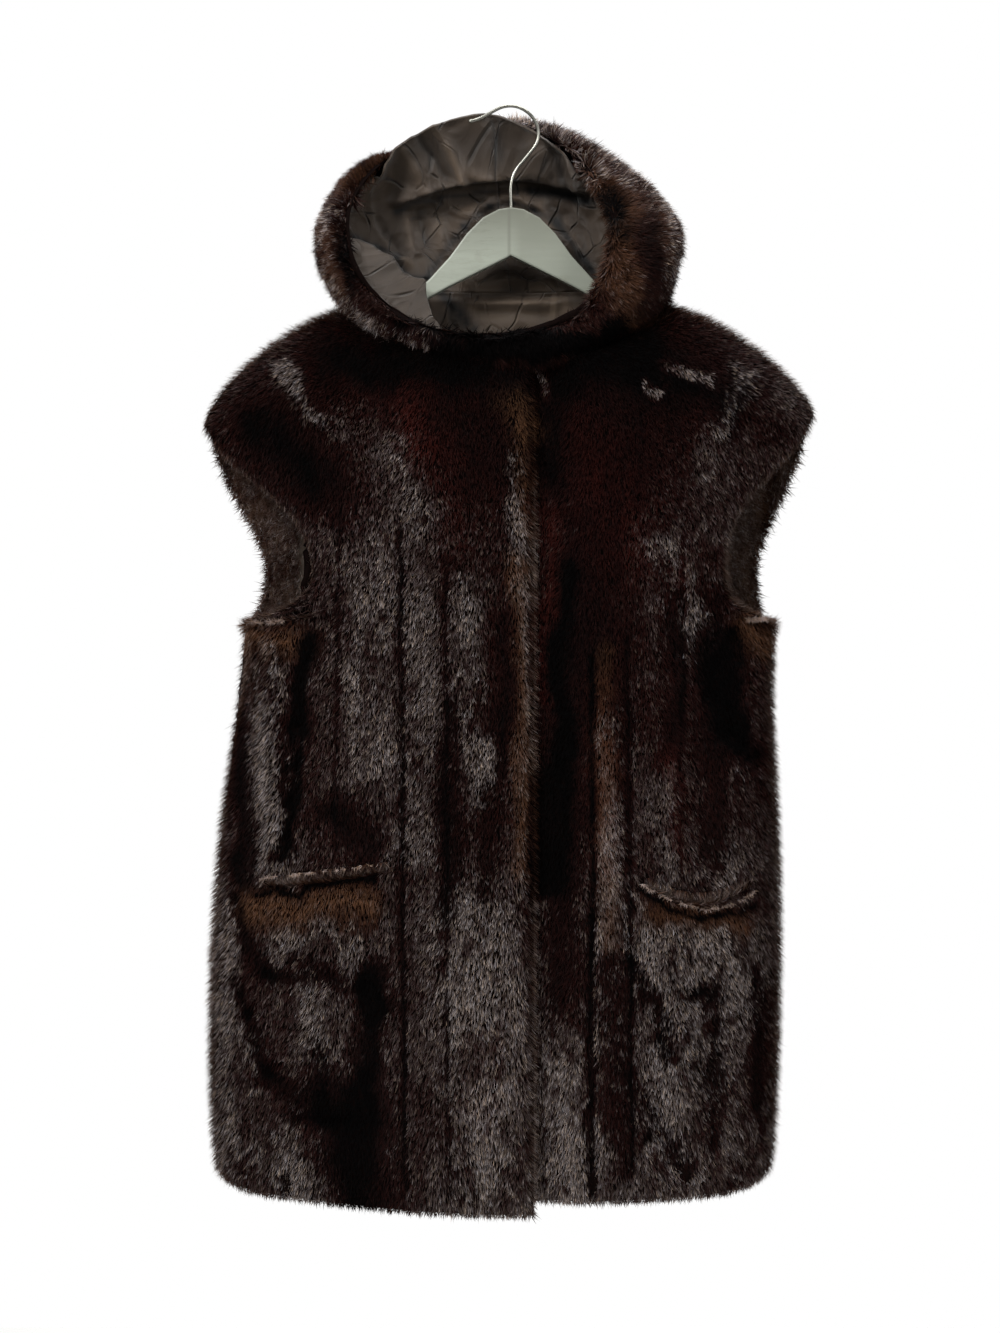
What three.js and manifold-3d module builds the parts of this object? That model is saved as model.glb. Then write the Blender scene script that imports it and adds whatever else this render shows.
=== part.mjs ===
// Hooded fur vest hanging on a flat wooden hanger, as closed solids.
// Millimetres, +Z up. The front faces -Y, and +X is on the right of someone who looks at the front.
// The origin is the underside of the hanger's hook at its top, where a rail or a wall hook carries it.
import * as THREE from "three";
import { mergeVertices } from "three/addons/utils/BufferGeometryUtils.js";
import Module from "manifold-3d";

const wasm = await Module();
wasm.setup();

// ---------------------------------------------------------------- sizes
const FUR = 12; // leather and pile together
const LINING = 1.5;
const GAP = 0.3; // between two pieces at a seam
const NECK_GAP = 0.8; // at the neck seam, where the hood's columns don't meet the body's
const CORNER_GAP = 2; // added where the seam turns sharply at the shoulder
const CLEAR = 0.6; // between the leather and the cloth on it
const LOOSE = 6.5; // how far the lining hangs off the leather between its seams
const EDGE_ROLL = 11; // how far in from a free edge the pile rounds over
const EDGE_PILE = 0.3; // share of the pile's height that is left at the very edge
const LEATHER_FOLD = 0.25; // share of a fold that the leather's back follows
const UNDERARM = -488;
const SHOULDER_TIP = -303;
const SEAM_TILT = 0.2; // how far the neck seam's wall leans up where the seam turns at the shoulder
const LAP_FADE = [27, 66]; // places across between which the under front comes forward again
const TORSO_SHARE = 0.62; // share of a panel's rows that lie below the underarm
const CORNER = 2.4; // exponent of a section: 2 is an ellipse, more is squarer
const RIDGE = 6; // how late the shoulder turns over: more is a rounder shoulder
const NECK_WIDTH = 146; // half the neck seam's width
const NECK_SPREAD = 180; // how wide the columns that end on the neck seam are below it
const FRONT_EDGE = 22; // where the front that lies on top ends
const UNDER_EDGE = -12; // where the front underneath ends
const UNDERLAP = FUR + 2.5; // how far the under front lies behind the other
const POCKET_DEPTH = 140;
const POCKET_SLIT = 3.6;
const BAG_SHEET = 1.2; // the pocketing's thickness
const BAG_ROOM = 0.8; // between the bag's two leaves, which lie flat
const WOOD = 12; // thickness of the hanger's board
const WIRE = 3.6;

// A table of named columns, as a list of rows.
const table = (names, ...rows) =>
  rows.map((row) =>
    Object.fromEntries(names.split(" ").map((name, i) => [name, row[i]])),
  );

// Level sections of the body from hem to shoulder tip, over the fur: how wide and deep the whole
// section is, and where the back and the fronts end across, which is the armhole's edge.
const SECTIONS = table(
  "height left right front back leftBack rightBack leftFront rightFront",
  [-1040, -279, 247, -72, 60, -279, 247, -279, 247],
  [-1000, -284, 251, -76, 63, -284, 251, -284, 251],
  [-900, -287, 255, -78, 64, -287, 255, -287, 255],
  [-790, -284, 256, -78, 64, -284, 256, -284, 256],
  [-676, -275, 254, -76, 63, -275, 254, -275, 254],
  [-562, -261, 248, -74, 62, -261, 248, -261, 248],
  [-500, -255, 251, -73, 61, -255, 251, -255, 251],
  [-488, -255, 252, -73, 61, -255, 252, -255, 252],
  [-480, -256, 253, -73, 61, -249, 247, -226, 228],
  [-468, -257, 254, -73, 61, -244, 243, -203, 210],
  [-450, -259, 256, -73, 60, -238, 238, -192, 203],
  [-426, -262, 260, -73, 60, -236, 238, -192, 204],
  [-392, -270, 268, -72, 59, -254, 256, -203, 214],
  [-350, -284, 281, -71, 56, -277, 276, -250, 252],
  [-320, -292, 289, -70, 53, -290, 288, -283, 282],
  [-303, -294, 291, -70, 52, -294, 291, -294, 291],
);

// Height of the hem over the fur at each place across, on the fronts and on the back.
const HEM = table(
  "across topFront underFront back",
  [-290, -1010, -1010, -1010],
  [-262, -1022, -1022, -1022],
  [-190, -1030, -1030, -1030],
  [-60, -1040, -1030, -1034],
  [30, -1041, -1030, -1034],
  [120, -1030, -1029, -1032],
  [200, -1025, -1025, -1028],
  [236, -1018, -1018, -1020],
  [258, -1004, -1004, -1006],
);

// The shoulder line over the fur, by distance from the middle.
const SHOULDER = table(
  "across height",
  [146, -184],
  [160, -188],
  [196, -204],
  [222, -220],
  [250, -241],
  [272, -262],
  [286, -281],
  [294, -303],
);

// Rings of the hood from the neck seam to the face edge, each through its front, back and side
// points. At the face edge the back point is the top of the opening.
const HOOD = table(
  "along frontY frontZ backY backZ leftX rightX sideY sideZ",
  [0, -64, -240, 45, -172, -146, 146, 0, -184],
  [0.22, -68, -233, 58, -126, -166, 150, 2, -160],
  [0.5, -71, -226, 64, -74, -184, 160, -6, -126],
  [0.78, -71, -219, 58, -28, -176, 146, -32, -110],
  [1, -68, -211, 36, -8, -158, 96, -50, -112],
);

// Soft folds of the fronts: a line on the front, how wide, and how far it stands out (+) or in (-).
const FRONT_FOLDS = table(
  "fromX fromZ toX toZ width lift",
  // creases and the roll between them, below the armhole on the left
  [-252, -520, -243, -725, 13, -9],
  [-190, -420, -192, -560, 13, -8],
  [-192, -560, -197, -690, 12, -4],
  [-224, -500, -221, -700, 15, 4],
  [-160, -590, -160, -670, 12, -4],
  // hollow above the left pocket and drag lines below it
  [-195, -703, -135, -700, 17, -6],
  [-246, -750, -212, -850, 13, -6],
  [-212, -850, -150, -920, 14, -7],
  [-198, -798, -160, -796, 13, -4],
  [-128, -800, -132, -990, 20, -6],
  [-185, -860, -175, -880, 20, 4],
  // long rolls beside the opening
  [-60, -460, -40, -1000, 28, 4],
  [0, -300, 8, -1020, 16, 3],
  [-102, -420, -96, -1010, 12, -3],
  // right front
  [96, -560, 92, -730, 16, 4],
  [118, -540, 116, -700, 13, -4],
  [142, -560, 146, -720, 15, 4],
  [200, -506, 197, -590, 14, -8],
  [180, -600, 182, -690, 13, -5],
  [76, -740, 76, -1020, 12, -3],
  [108, -785, 143, -878, 13, -7],
  [120, -905, 160, -990, 16, -8],
  [150, -800, 165, -960, 17, 4],
  [188, -858, 186, -965, 13, -6],
  [226, -810, 218, -1000, 14, -5],
  [160, -823, 182, -823, 12, -4],
  [130, -722, 215, -724, 14, -4],
  // where the hanger's ends push the shoulders out
  [-203, -256, -150, -324, 16, 6],
  [208, -262, 194, -318, 16, 6],
  [-235, -330, -225, -400, 22, -5],
  [238, -330, 228, -400, 22, -5],
  [-120, -300, -130, -420, 30, -4],
  [140, -330, 128, -440, 26, 4],
);

// Folds of the back, which hangs straighter.
const BACK_FOLDS = table(
  "fromX fromZ toX toZ width lift",
  [-172, -360, -214, -930, 22, -5],
  [-146, -560, -160, -1000, 26, 4],
  [-78, -270, -100, -820, 24, -4],
  [-34, -640, -28, -1010, 30, 3],
  [28, -330, 22, -760, 24, -3],
  [72, -700, 76, -1010, 22, -4],
  [96, -400, 92, -880, 30, 4],
  [128, -600, 140, -1010, 20, -4],
  [180, -340, 204, -900, 22, -5],
  [-206, -262, -150, -340, 18, 5],
  [206, -262, 150, -340, 18, 5],
);

// Folds of the hood, in its own angle round the ring and its share from neck to face edge.
const HOOD_FOLDS = table(
  "fromTurn fromAlong toTurn toAlong width lift",
  [0.27, 0.3, 0.3, 0.9, 0.05, -4],
  [0.36, 0.2, 0.4, 0.8, 0.05, 3],
  [0.62, 0.2, 0.6, 0.8, 0.05, 3],
  [0.74, 0.3, 0.71, 0.9, 0.05, -4],
);

// The two pocket slits: ends and how far the middle hangs below them.
const POCKETS = table(
  "name side fromX fromZ toX toZ sag",
  ["right", "top", -226, -731, -114, -716, 1],
  ["left", "under", 124, -730, 220, -733, 15],
);

// ---------------------------------------------------------------- small maths
const mix = (a, b, t) => a + (b - a) * t;
const clamp = (t) => Math.min(1, Math.max(0, t));
const ease = (from, to, value) => {
  const t = clamp((value - from) / (to - from));
  return t * t * (3 - 2 * t);
};
const vec = (x, y, z) => new THREE.Vector3(x, y, z);

// A column of a table at any place between its rows, as one smooth curve.
function read(rows, column, at, key) {
  const last = rows.length - 1;
  let i = 0;
  while (i < last - 1 && at > rows[i + 1][key]) i++;
  const slope = (k) => {
    const [a, b] = [rows[Math.max(k - 1, 0)], rows[Math.min(k + 1, last)]];
    return (b[column] - a[column]) / (b[key] - a[key]);
  };
  const [from, to] = [rows[i], rows[i + 1]];
  const span = to[key] - from[key];
  const t = clamp((at - from[key]) / span);
  const u = 1 - t;
  return (
    u * u * (1 + 2 * t) * from[column] +
    t * t * (3 - 2 * t) * to[column] +
    span * t * u * (u * slope(i) - t * slope(i + 1))
  );
}

// How far a set of folds lifts the point (a, b).
function foldLift(folds, names, a, b) {
  const [a0, b0, a1, b1] = names;
  return folds.reduce((sum, fold) => {
    const [da, db] = [fold[a1] - fold[a0], fold[b1] - fold[b0]];
    const along = clamp(
      ((a - fold[a0]) * da + (b - fold[b0]) * db) / (da * da + db * db),
    );
    const off = Math.hypot(
      a - fold[a0] - along * da,
      b - fold[b0] - along * db,
    );
    return sum + fold.lift * Math.exp(-((off / fold.width) ** 2));
  }, 0);
}
const PLANE = ["fromX", "fromZ", "toX", "toZ"];
const TURN = ["fromTurn", "fromAlong", "toTurn", "toAlong"];

// ---------------------------------------------------------------- body
const hoodMiddle = (front, back) => (HOOD[0][front] + HOOD[0][back]) / 2;

// The top edge of the body at a place across: the shoulder line, or the neck seam between.
function topEdge(across, behind) {
  if (Math.abs(across) >= NECK_WIDTH)
    return { y: 0, z: read(SHOULDER, "height", Math.abs(across), "across") };
  const s = across / NECK_WIDTH;
  const c = Math.sqrt(1 - s * s) * (behind ? -1 : 1);
  const [y0, z0] = [
    hoodMiddle("frontY", "backY"),
    hoodMiddle("frontZ", "backZ"),
  ];
  return {
    y: y0 + (HOOD[0].frontY - y0) * c + (HOOD[0].sideY - y0) * s * s,
    z: z0 + (HOOD[0].frontZ - z0) * c + (HOOD[0].sideZ - z0) * s * s,
  };
}

// The direction of the wall's thickness along the neck seam, which the hood and the body share.
// s runs from -1 to 1 across, and c is 1 at the front and -1 at the back.
function neckDirection(s, c) {
  const deep = Math.abs(HOOD[0].frontY - HOOD[0].backY) / 2;
  return vec(s / NECK_WIDTH, -c / deep, 0)
    .normalize()
    .add(vec(0, 0, SEAM_TILT * s ** 8))
    .normalize();
}

// The same along the shoulder seam: square to the shoulder line, turning into the neck's.
function shoulderDirection(across) {
  const [side, far] = [Math.sign(across), Math.abs(across)];
  const tip = SHOULDER[SHOULDER.length - 1].across;
  const step = 6;
  const [low, high] = [far - step, far + step].map((x) =>
    read(SHOULDER, "height", Math.min(tip, Math.max(NECK_WIDTH, x)), "across"),
  );
  const [turnWidth, tipWidth, tipTurn] = [22, 32, 0.6];
  const atTip = ease(tip - tipWidth, tip, far);
  const atNeck = 1 - ease(NECK_WIDTH, NECK_WIDTH + turnWidth, far);
  return vec((side * (low - high)) / (2 * step), 0, 1)
    .normalize()
    .lerp(vec(side, 0, 0.25), tipTurn * atTip)
    .lerp(neckDirection(side, 0), atNeck)
    .normalize();
}

const STEPS = 160; // points of a section's line
// One level section of the front or the back, as a fine line from the left side to the right.
function sectionLine(height, behind) {
  const get = (column) => read(SECTIONS, column, height, "height");
  const [left, right] = [get("left"), get("right")];
  const deep = get(behind ? "back" : "front");
  return Array.from({ length: STEPS + 1 }, (_, i) => {
    const q = Math.sin((i / STEPS - 0.5) * Math.PI);
    const bulge = (1 - Math.abs(q) ** CORNER) ** (1 / CORNER);
    return { x: mix(left, right, (q + 1) / 2), y: deep * bulge };
  });
}

// The point at a share of a line's length, between two places across.
function alongLine(line, fromX, toX, share) {
  const kept = line.filter((p) => p.x > fromX && p.x < toX);
  const cut = (x) => {
    const i = Math.max(
      1,
      line.findIndex((p) => p.x >= x),
    );
    const t = (x - line[i - 1].x) / (line[i].x - line[i - 1].x);
    return { x, y: mix(line[i - 1].y, line[i].y, t) };
  };
  const points = [
    fromX <= line[0].x ? line[0] : cut(fromX),
    ...kept,
    toX >= line[STEPS].x ? line[STEPS] : cut(toX),
  ];
  const far = [0];
  for (let i = 1; i < points.length; i++)
    far.push(
      far[i - 1] +
        Math.hypot(points[i].x - points[i - 1].x, points[i].y - points[i - 1].y),
    );
  const want = share * far[far.length - 1];
  let i = 1;
  while (i < far.length - 1 && far[i] < want) i++;
  const t = clamp((want - far[i - 1]) / (far[i] - far[i - 1] || 1));
  return {
    x: mix(points[i - 1].x, points[i].x, t),
    y: mix(points[i - 1].y, points[i].y, t),
  };
}

// A panel's ends across: a column of the sections, or the edge of the opening.
const PANELS = {
  top: { behind: false, from: "leftFront", to: FRONT_EDGE, hem: "topFront" },
  under: { behind: false, from: UNDER_EDGE, to: "rightFront", hem: "underFront" },
  back: { behind: true, from: "leftBack", to: "rightBack", hem: "back" },
};

// How far up a row is between the underarm and the top.
const yokeShare = (up) => clamp((up - TORSO_SHARE) / (1 - TORSO_SHARE));

// Where a column ends across: the columns draw in to meet the neck seam.
function endAcross(x) {
  const [side, far] = [Math.sign(x), Math.abs(x)];
  const tip = SHOULDER[SHOULDER.length - 1].across;
  return far < NECK_SPREAD
    ? (x * NECK_WIDTH) / NECK_SPREAD
    : side * mix(NECK_WIDTH, tip, (far - NECK_SPREAD) / (tip - NECK_SPREAD));
}

// How far a place lies in the lap, where the under front passes behind the other: 0 to 1.
const lapShare = (name, x) => (name === "under" ? 1 - ease(...LAP_FADE, x) : 0);

// The smooth outer face of a panel, at a share across (left to right) and up (hem to top).
function panelFace(name, across, up) {
  const panel = PANELS[name];
  const yoke = yokeShare(up);
  const torso = clamp(up / TORSO_SHARE);
  const height = yoke
    ? mix(UNDERARM, SHOULDER_TIP, yoke)
    : mix(SECTIONS[0].height, UNDERARM, torso);
  const limit = (side, key) =>
    typeof side === "number" ? side : read(SECTIONS, side, key, "height");
  const place = (key) => {
    const line = sectionLine(key, panel.behind);
    const [from, to] = [limit(panel.from, key), limit(panel.to, key)];
    return alongLine(line, from, to, across);
  };
  const { x, y } = place(height);
  const end = endAcross(place(SHOULDER_TIP).x);
  const top = topEdge(end, panel.behind);
  const z = yoke
    ? mix(UNDERARM, top.z, yoke)
    : mix(read(HEM, panel.hem, x, "across"), UNDERARM, torso);
  const turn = Math.sqrt(1 - yoke ** RIDGE);
  const lap = UNDERLAP * lapShare(name, x);
  return vec(mix(end, x, turn), mix(top.y, y, turn) + lap, z);
}

// Where a column of a panel ends across, at the top.
const topX = (name, across) => panelFace(name, across, 1).x;

const SLOPE_STEP = 0.004; // share of a surface over which its slope is measured

// The outward normal of a panel. At a seam it lies in the seam, so both sides share it.
function panelNormal(name, across, up) {
  const e = SLOPE_STEP;
  const { behind } = PANELS[name];
  const diff = (a0, u0, a1, u1) =>
    panelFace(name, clamp(a1), clamp(u1)).sub(
      panelFace(name, clamp(a0), clamp(u0)),
    );
  const n = diff(across - e, up, across + e, up)
    .cross(diff(across, up - e, across, up + e))
    .normalize()
    .multiplyScalar(behind ? -1 : 1);
  const end = topX(name, across);
  const s = end / NECK_WIDTH;
  const seam =
    Math.abs(s) >= 1
      ? shoulderDirection(end)
      : neckDirection(s, Math.sqrt(1 - s * s) * (behind ? -1 : 1));
  n.lerp(seam, ease(0.985, 1, yokeShare(up))).normalize();
  const atSide =
    up <= TORSO_SHARE + 1e-6 &&
    ((across < 1e-6 && name !== "under") ||
      (across > 1 - 1e-6 && name !== "top"));
  if (atSide) n.setY(0).normalize();
  return n;
}

// How much of the pile stands at a place: it rounds over at every free edge.
function pileShare(name, across, up) {
  const wide = panelFace(name, 1, up).x - panelFace(name, 0, up).x;
  const edges = [(up / TORSO_SHARE) * (UNDERARM - SECTIONS[0].height)];
  if (name === "top") edges.push((1 - across) * wide);
  if (name === "under") edges.push(across * wide);
  const arm = ease(TORSO_SHARE, TORSO_SHARE + 0.02, up);
  const fromSide = Math.min(
    name === "under" ? Infinity : across * wide,
    name === "top" ? Infinity : (1 - across) * wide,
  );
  edges.push(mix(EDGE_ROLL, fromSide, arm));
  return edges.reduce((share, far) => {
    const t = clamp(far / EDGE_ROLL);
    return Math.min(share, mix(EDGE_PILE, 1, Math.sqrt(1 - (1 - t) ** 2)));
  }, 1);
}

// A point of a panel at a depth under its outer face: 0 is the fur's face, FUR the leather's back.
// follow is the share of the folds that a layer under the fur takes part in.
function panelPoint(name, across, up, depth, follow = LEATHER_FOLD) {
  const n = panelNormal(name, across, up);
  const point = panelFace(name, across, up);
  const { behind } = PANELS[name];
  const folds = behind ? BACK_FOLDS : FRONT_FOLDS;
  const calm = ease(1, 0.93, yokeShare(up)); // the seams at the top stay level
  const fold = foldLift(folds, PLANE, point.x, point.z) * calm;
  const shown = mix(1, LEATHER_FOLD, lapShare(name, point.x));
  const out = depth
    ? fold * follow - depth
    : fold * shown - FUR * (1 - pileShare(name, across, up));
  const moved = point.addScaledVector(n, out);
  const s = Math.abs(topX(name, across)) / NECK_WIDTH;
  if (up > 1 - 1e-6 && s < 1 + 1e-6)
    moved.z -= NECK_GAP / 2 + CORNER_GAP * s ** 4;
  moved.y = behind ? Math.max(moved.y, GAP / 2) : Math.min(moved.y, -GAP / 2);
  return moved;
}

// ---------------------------------------------------------------- walls
// A closed wall between an outer and an inner grid of points.
function wall(across, up, outer, inner) {
  const [nu, nv] = [across.length, up.length];
  const positions = [];
  for (const face of [outer, inner])
    for (const u of across)
      for (const v of up) positions.push(...face(u, v).toArray());
  const at = (i, j, layer) => layer * nu * nv + i * nv + j;
  const index = [];
  const quad = (a, b, c, d) => index.push(a, b, c, a, c, d);
  for (let i = 0; i < nu - 1; i++)
    for (let j = 0; j < nv - 1; j++) {
      quad(at(i, j, 0), at(i + 1, j, 0), at(i + 1, j + 1, 0), at(i, j + 1, 0));
      quad(at(i, j, 1), at(i, j + 1, 1), at(i + 1, j + 1, 1), at(i + 1, j, 1));
    }
  for (let i = 0; i < nu - 1; i++) {
    quad(at(i, 0, 0), at(i, 0, 1), at(i + 1, 0, 1), at(i + 1, 0, 0));
    const j = nv - 1;
    quad(at(i, j, 0), at(i + 1, j, 0), at(i + 1, j, 1), at(i, j, 1));
  }
  for (let j = 0; j < nv - 1; j++) {
    quad(at(0, j + 1, 0), at(0, j + 1, 1), at(0, j, 1), at(0, j, 0));
    const i = nu - 1;
    quad(at(i, j, 1), at(i, j + 1, 1), at(i, j + 1, 0), at(i, j, 0));
  }
  const geometry = new THREE.BufferGeometry();
  geometry.setAttribute(
    "position",
    new THREE.Float32BufferAttribute(positions, 3),
  );
  geometry.setIndex(index);
  return facingOut(geometry);
}

// Turns a closed geometry's faces outwards.
function facingOut(geometry) {
  const p = geometry.attributes.position;
  const index = geometry.index.array;
  const corner = (k) => vec().fromBufferAttribute(p, index[k]);
  let volume = 0;
  for (let k = 0; k < index.length; k += 3)
    volume += corner(k).dot(corner(k + 1).cross(corner(k + 2)));
  if (volume < 0)
    for (let k = 0; k < index.length; k += 3)
      [index[k], index[k + 1]] = [index[k + 1], index[k]];
  return geometry;
}

const even = (from, to, count) =>
  Array.from({ length: count }, (_, i) => mix(from, to, i / (count - 1)));

// The share across at which a panel's column reaches a place x at the top, by halving.
function shareAtTop(name, x) {
  let [low, high] = [0, 1];
  for (let i = 0; i < 30; i++) {
    const middle = (low + high) / 2;
    if (topX(name, middle) < x) low = middle;
    else high = middle;
  }
  return (low + high) / 2;
}

// Columns of a panel: closer at both edges, and one at each end of the neck seam.
function panelColumns(name, count) {
  const close = [0, 0.012, 0.034];
  const columns = [
    ...close,
    ...even(0.07, 0.93, count),
    ...close.map((t) => 1 - t).reverse(),
  ];
  for (const side of [-1, 1]) {
    const corner = shareAtTop(name, side * NECK_WIDTH);
    if (corner < 0.05 || corner > 0.95) continue;
    const gaps = columns.map((t) => Math.abs(t - corner));
    columns[gaps.indexOf(Math.min(...gaps))] = corner;
  }
  return columns;
}

// Rows of a panel: closer at the hem, at the armhole's foot and where the shoulder turns over.
const HEM_ROWS = [0, 0.006, 0.018];
const YOKE_ROWS = [
  0, 0.045, 0.1, 0.18, 0.3, 0.44, 0.58, 0.7, 0.81, 0.9, 0.955, 0.987, 1,
].map((t) => mix(TORSO_SHARE, 1, t));
const panelRows = (torso) => [
  ...HEM_ROWS,
  ...even(0.045, TORSO_SHARE, torso).slice(0, -1),
  ...YOKE_ROWS,
];

const GRIDS = {
  top: { columns: panelColumns("top", 17), rows: panelRows(13) },
  under: { columns: panelColumns("under", 17), rows: panelRows(13) },
  back: { columns: panelColumns("back", 18), rows: panelRows(9) },
};

const panelWall = (name) =>
  wall(
    GRIDS[name].columns,
    GRIDS[name].rows,
    (u, v) => panelPoint(name, u, v, 0),
    (u, v) => panelPoint(name, u, v, FUR),
  );

// ---------------------------------------------------------------- manifold helpers
function solid(geometry) {
  const bare = new THREE.BufferGeometry();
  bare.setAttribute("position", geometry.getAttribute("position"));
  bare.setIndex(geometry.index);
  const merged = mergeVertices(bare, 1e-3);
  return new wasm.Manifold(
    new wasm.Mesh({
      numProp: 3,
      vertProperties: new Float32Array(merged.attributes.position.array),
      triVerts: new Uint32Array(merged.index.array),
    }),
  );
}

function geometryOf(manifold) {
  const mesh = manifold.getMesh();
  const geometry = new THREE.BufferGeometry();
  geometry.setAttribute(
    "position",
    new THREE.BufferAttribute(new Float32Array(mesh.vertProperties), 3),
  );
  geometry.setIndex(new THREE.BufferAttribute(mesh.triVerts, 1));
  return geometry;
}

// A flat outline in X and Z, given a thickness in Y about the plane y = at.
function board(shape, thickness, at, options = {}) {
  return new THREE.ExtrudeGeometry(shape, {
    depth: thickness,
    bevelEnabled: false,
    ...options,
  })
    .rotateX(Math.PI / 2)
    .translate(0, at + thickness / 2, 0);
}

// ---------------------------------------------------------------- pockets
const slitHeight = (pocket, share) =>
  mix(pocket.fromZ, pocket.toZ, share) - pocket.sag * Math.sin(Math.PI * share);

// The slit that is cut through a front, as a board across the wall.
function slitCutter(pocket) {
  const steps = 10;
  const edge = (sign) =>
    Array.from({ length: steps + 1 }, (_, i) => {
      const t = i / steps;
      const half = (POCKET_SLIT / 2) * Math.sin(Math.PI * mix(0.12, 0.88, t));
      return new THREE.Vector2(
        mix(pocket.fromX, pocket.toX, t),
        slitHeight(pocket, t) + sign * half,
      );
    });
  const shape = new THREE.Shape([...edge(-1), ...edge(1).reverse()]);
  const [through, middle] = [120, -70];
  return solid(board(shape, through, middle));
}

// The share across and up of a front where it has that place across and height.
function shareAt(name, x, z) {
  const hem = read(HEM, PANELS[name].hem, x, "across");
  const up = (TORSO_SHARE * (z - hem)) / (UNDERARM - hem);
  let [low, high] = [0, 1];
  for (let i = 0; i < 24; i++) {
    const middle = (low + high) / 2;
    if (panelFace(name, middle, up).x < x) low = middle;
    else high = middle;
  }
  return { across: (low + high) / 2, up };
}

// The pocket's bag: one sheet folded at the bottom, whose leaves lie flat behind the front.
function pocketBag(pocket) {
  const { columns, rows } = GRIDS[pocket.side];
  const [middle, past] = [slitHeight(pocket, 0.5), 6];
  const from = shareAt(pocket.side, pocket.fromX - past, middle);
  const to = shareAt(pocket.side, pocket.toX + past, middle);
  const foot = shareAt(pocket.side, pocket.fromX, middle - POCKET_DEPTH).up;
  const wide = columns.filter((u) => u > from.across && u < to.across);
  const leaf = rows.filter((v) => v > foot && v < TORSO_SHARE);
  const mouth = leaf.findIndex((v) => v > from.up);
  const near = FUR + CLEAR;
  const far = near + BAG_SHEET + BAG_ROOM;
  const fold = (near + far + BAG_SHEET) / 2;
  const steps = [
    ...leaf
      .slice(0, mouth + 1)
      .reverse()
      .map((up) => ({ up, out: far + BAG_SHEET, in: far, down: 0 })),
    { up: leaf[0], out: fold, in: fold, down: BAG_SHEET },
    ...leaf
      .slice(0, mouth - 1)
      .map((up) => ({ up, out: near, in: near + BAG_SHEET, down: 0 })),
  ];
  const outerDrop = 2.2; // the fold's outer face hangs this many times as far as its inner one
  const pointAt = (across, step, side) => {
    const drop = step.down * (side === "out" ? outerDrop : 1);
    return panelPoint(pocket.side, across, step.up, step[side]).sub(
      vec(0, 0, drop),
    );
  };
  return wall(
    wide,
    steps,
    (u, step) => pointAt(u, step, "out"),
    (u, step) => pointAt(u, step, "in"),
  );
}

// ---------------------------------------------------------------- linings
const LOOSE_ROWS = [0.03, 0.13, 0.28, 0.45];

// A lining has its panel's columns, and its rows above the underarm. It is sewn to the leather
// round the armhole and along the shoulder and neck, and hangs loose below.
function bodyLining(name, from, to) {
  const { columns, rows } = GRIDS[name];
  const across = columns.filter((u) => u >= from && u <= to);
  const up = [...LOOSE_ROWS, ...rows.filter((v) => v > 0.55)];
  const layer = (u, v) => {
    const yoke = ease(TORSO_SHARE - 0.05, TORSO_SHARE + 0.02, v);
    const sides = ease(0, 0.2, u) * ease(0, 0.2, 1 - u);
    const sewn = ease(1, 0.7, yokeShare(v)) * sides;
    return {
      depth: FUR + CLEAR + LOOSE * mix(1, sewn, yoke),
      follow: LEATHER_FOLD * yoke,
    };
  };
  const pointAt = (u, v, thick) => {
    const { depth, follow } = layer(u, v);
    return panelPoint(name, u, v, depth + thick, follow);
  };
  return wall(
    across,
    up,
    (u, v) => pointAt(u, v, 0),
    (u, v) => pointAt(u, v, LINING),
  );
}

// ---------------------------------------------------------------- hood
const HOOD_DEPTH = 150; // from the neck seam to the face edge, about

// The hood's smooth outer face. turn runs from the front over the right side, the back and the
// left side to the front again, along from the neck seam to the face edge.
function hoodFace(turn, along) {
  const get = (column) => read(HOOD, column, along, "along");
  const [s, c] = [Math.sin(turn * 2 * Math.PI), Math.cos(turn * 2 * Math.PI)];
  const ring = (front, back, side) => {
    const middle = (get(front) + get(back)) / 2;
    return middle + (get(front) - middle) * c + (get(side) - middle) * s * s;
  };
  return vec(
    mix(get("leftX"), get("rightX"), (s + 1) / 2),
    ring("frontY", "backY", "sideY"),
    ring("frontZ", "backZ", "sideZ"),
  );
}

function hoodPoint(turn, along, depth) {
  const e = SLOPE_STEP;
  const round = hoodFace(turn + e, along).sub(hoodFace(turn - e, along));
  const upward = hoodFace(turn, clamp(along + e)).sub(
    hoodFace(turn, clamp(along - e)),
  );
  const angle = turn * 2 * Math.PI;
  const n = round
    .cross(upward)
    .normalize()
    .lerp(
      neckDirection(Math.sin(angle), Math.cos(angle)),
      1 - ease(0, 0.12, along),
    )
    .normalize();
  const calm = ease(0, 0.12, along);
  const fold = foldLift(HOOD_FOLDS, TURN, turn, along) * calm;
  const t = clamp(((1 - along) * HOOD_DEPTH) / EDGE_ROLL);
  const pile = mix(EDGE_PILE, 1, Math.sqrt(1 - (1 - t) ** 2));
  const out = depth ? fold * LEATHER_FOLD - depth : fold - FUR * (1 - pile);
  const moved = hoodFace(turn, along).addScaledVector(n, out);
  if (along < 1e-6) moved.z += NECK_GAP / 2;
  return moved;
}

const HOOD_SLOT = 0.004; // share of a turn left open at the front
const HOOD_SEAM = 0.0002; // and at the seam down the back
const HOOD_ROWS = [0, 0.08, 0.21, 0.36, 0.52, 0.68, 0.83, 0.94, 0.985, 1];

function hoodHalf(from, to, rows, outer, inner) {
  const columns = even(from, to, 19);
  columns[9] = from < 0.5 ? 0.25 : 0.75;
  return wall(
    columns,
    rows,
    (u, v) => hoodPoint(u, v, outer),
    (u, v) => hoodPoint(u, v, inner),
  );
}

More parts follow.
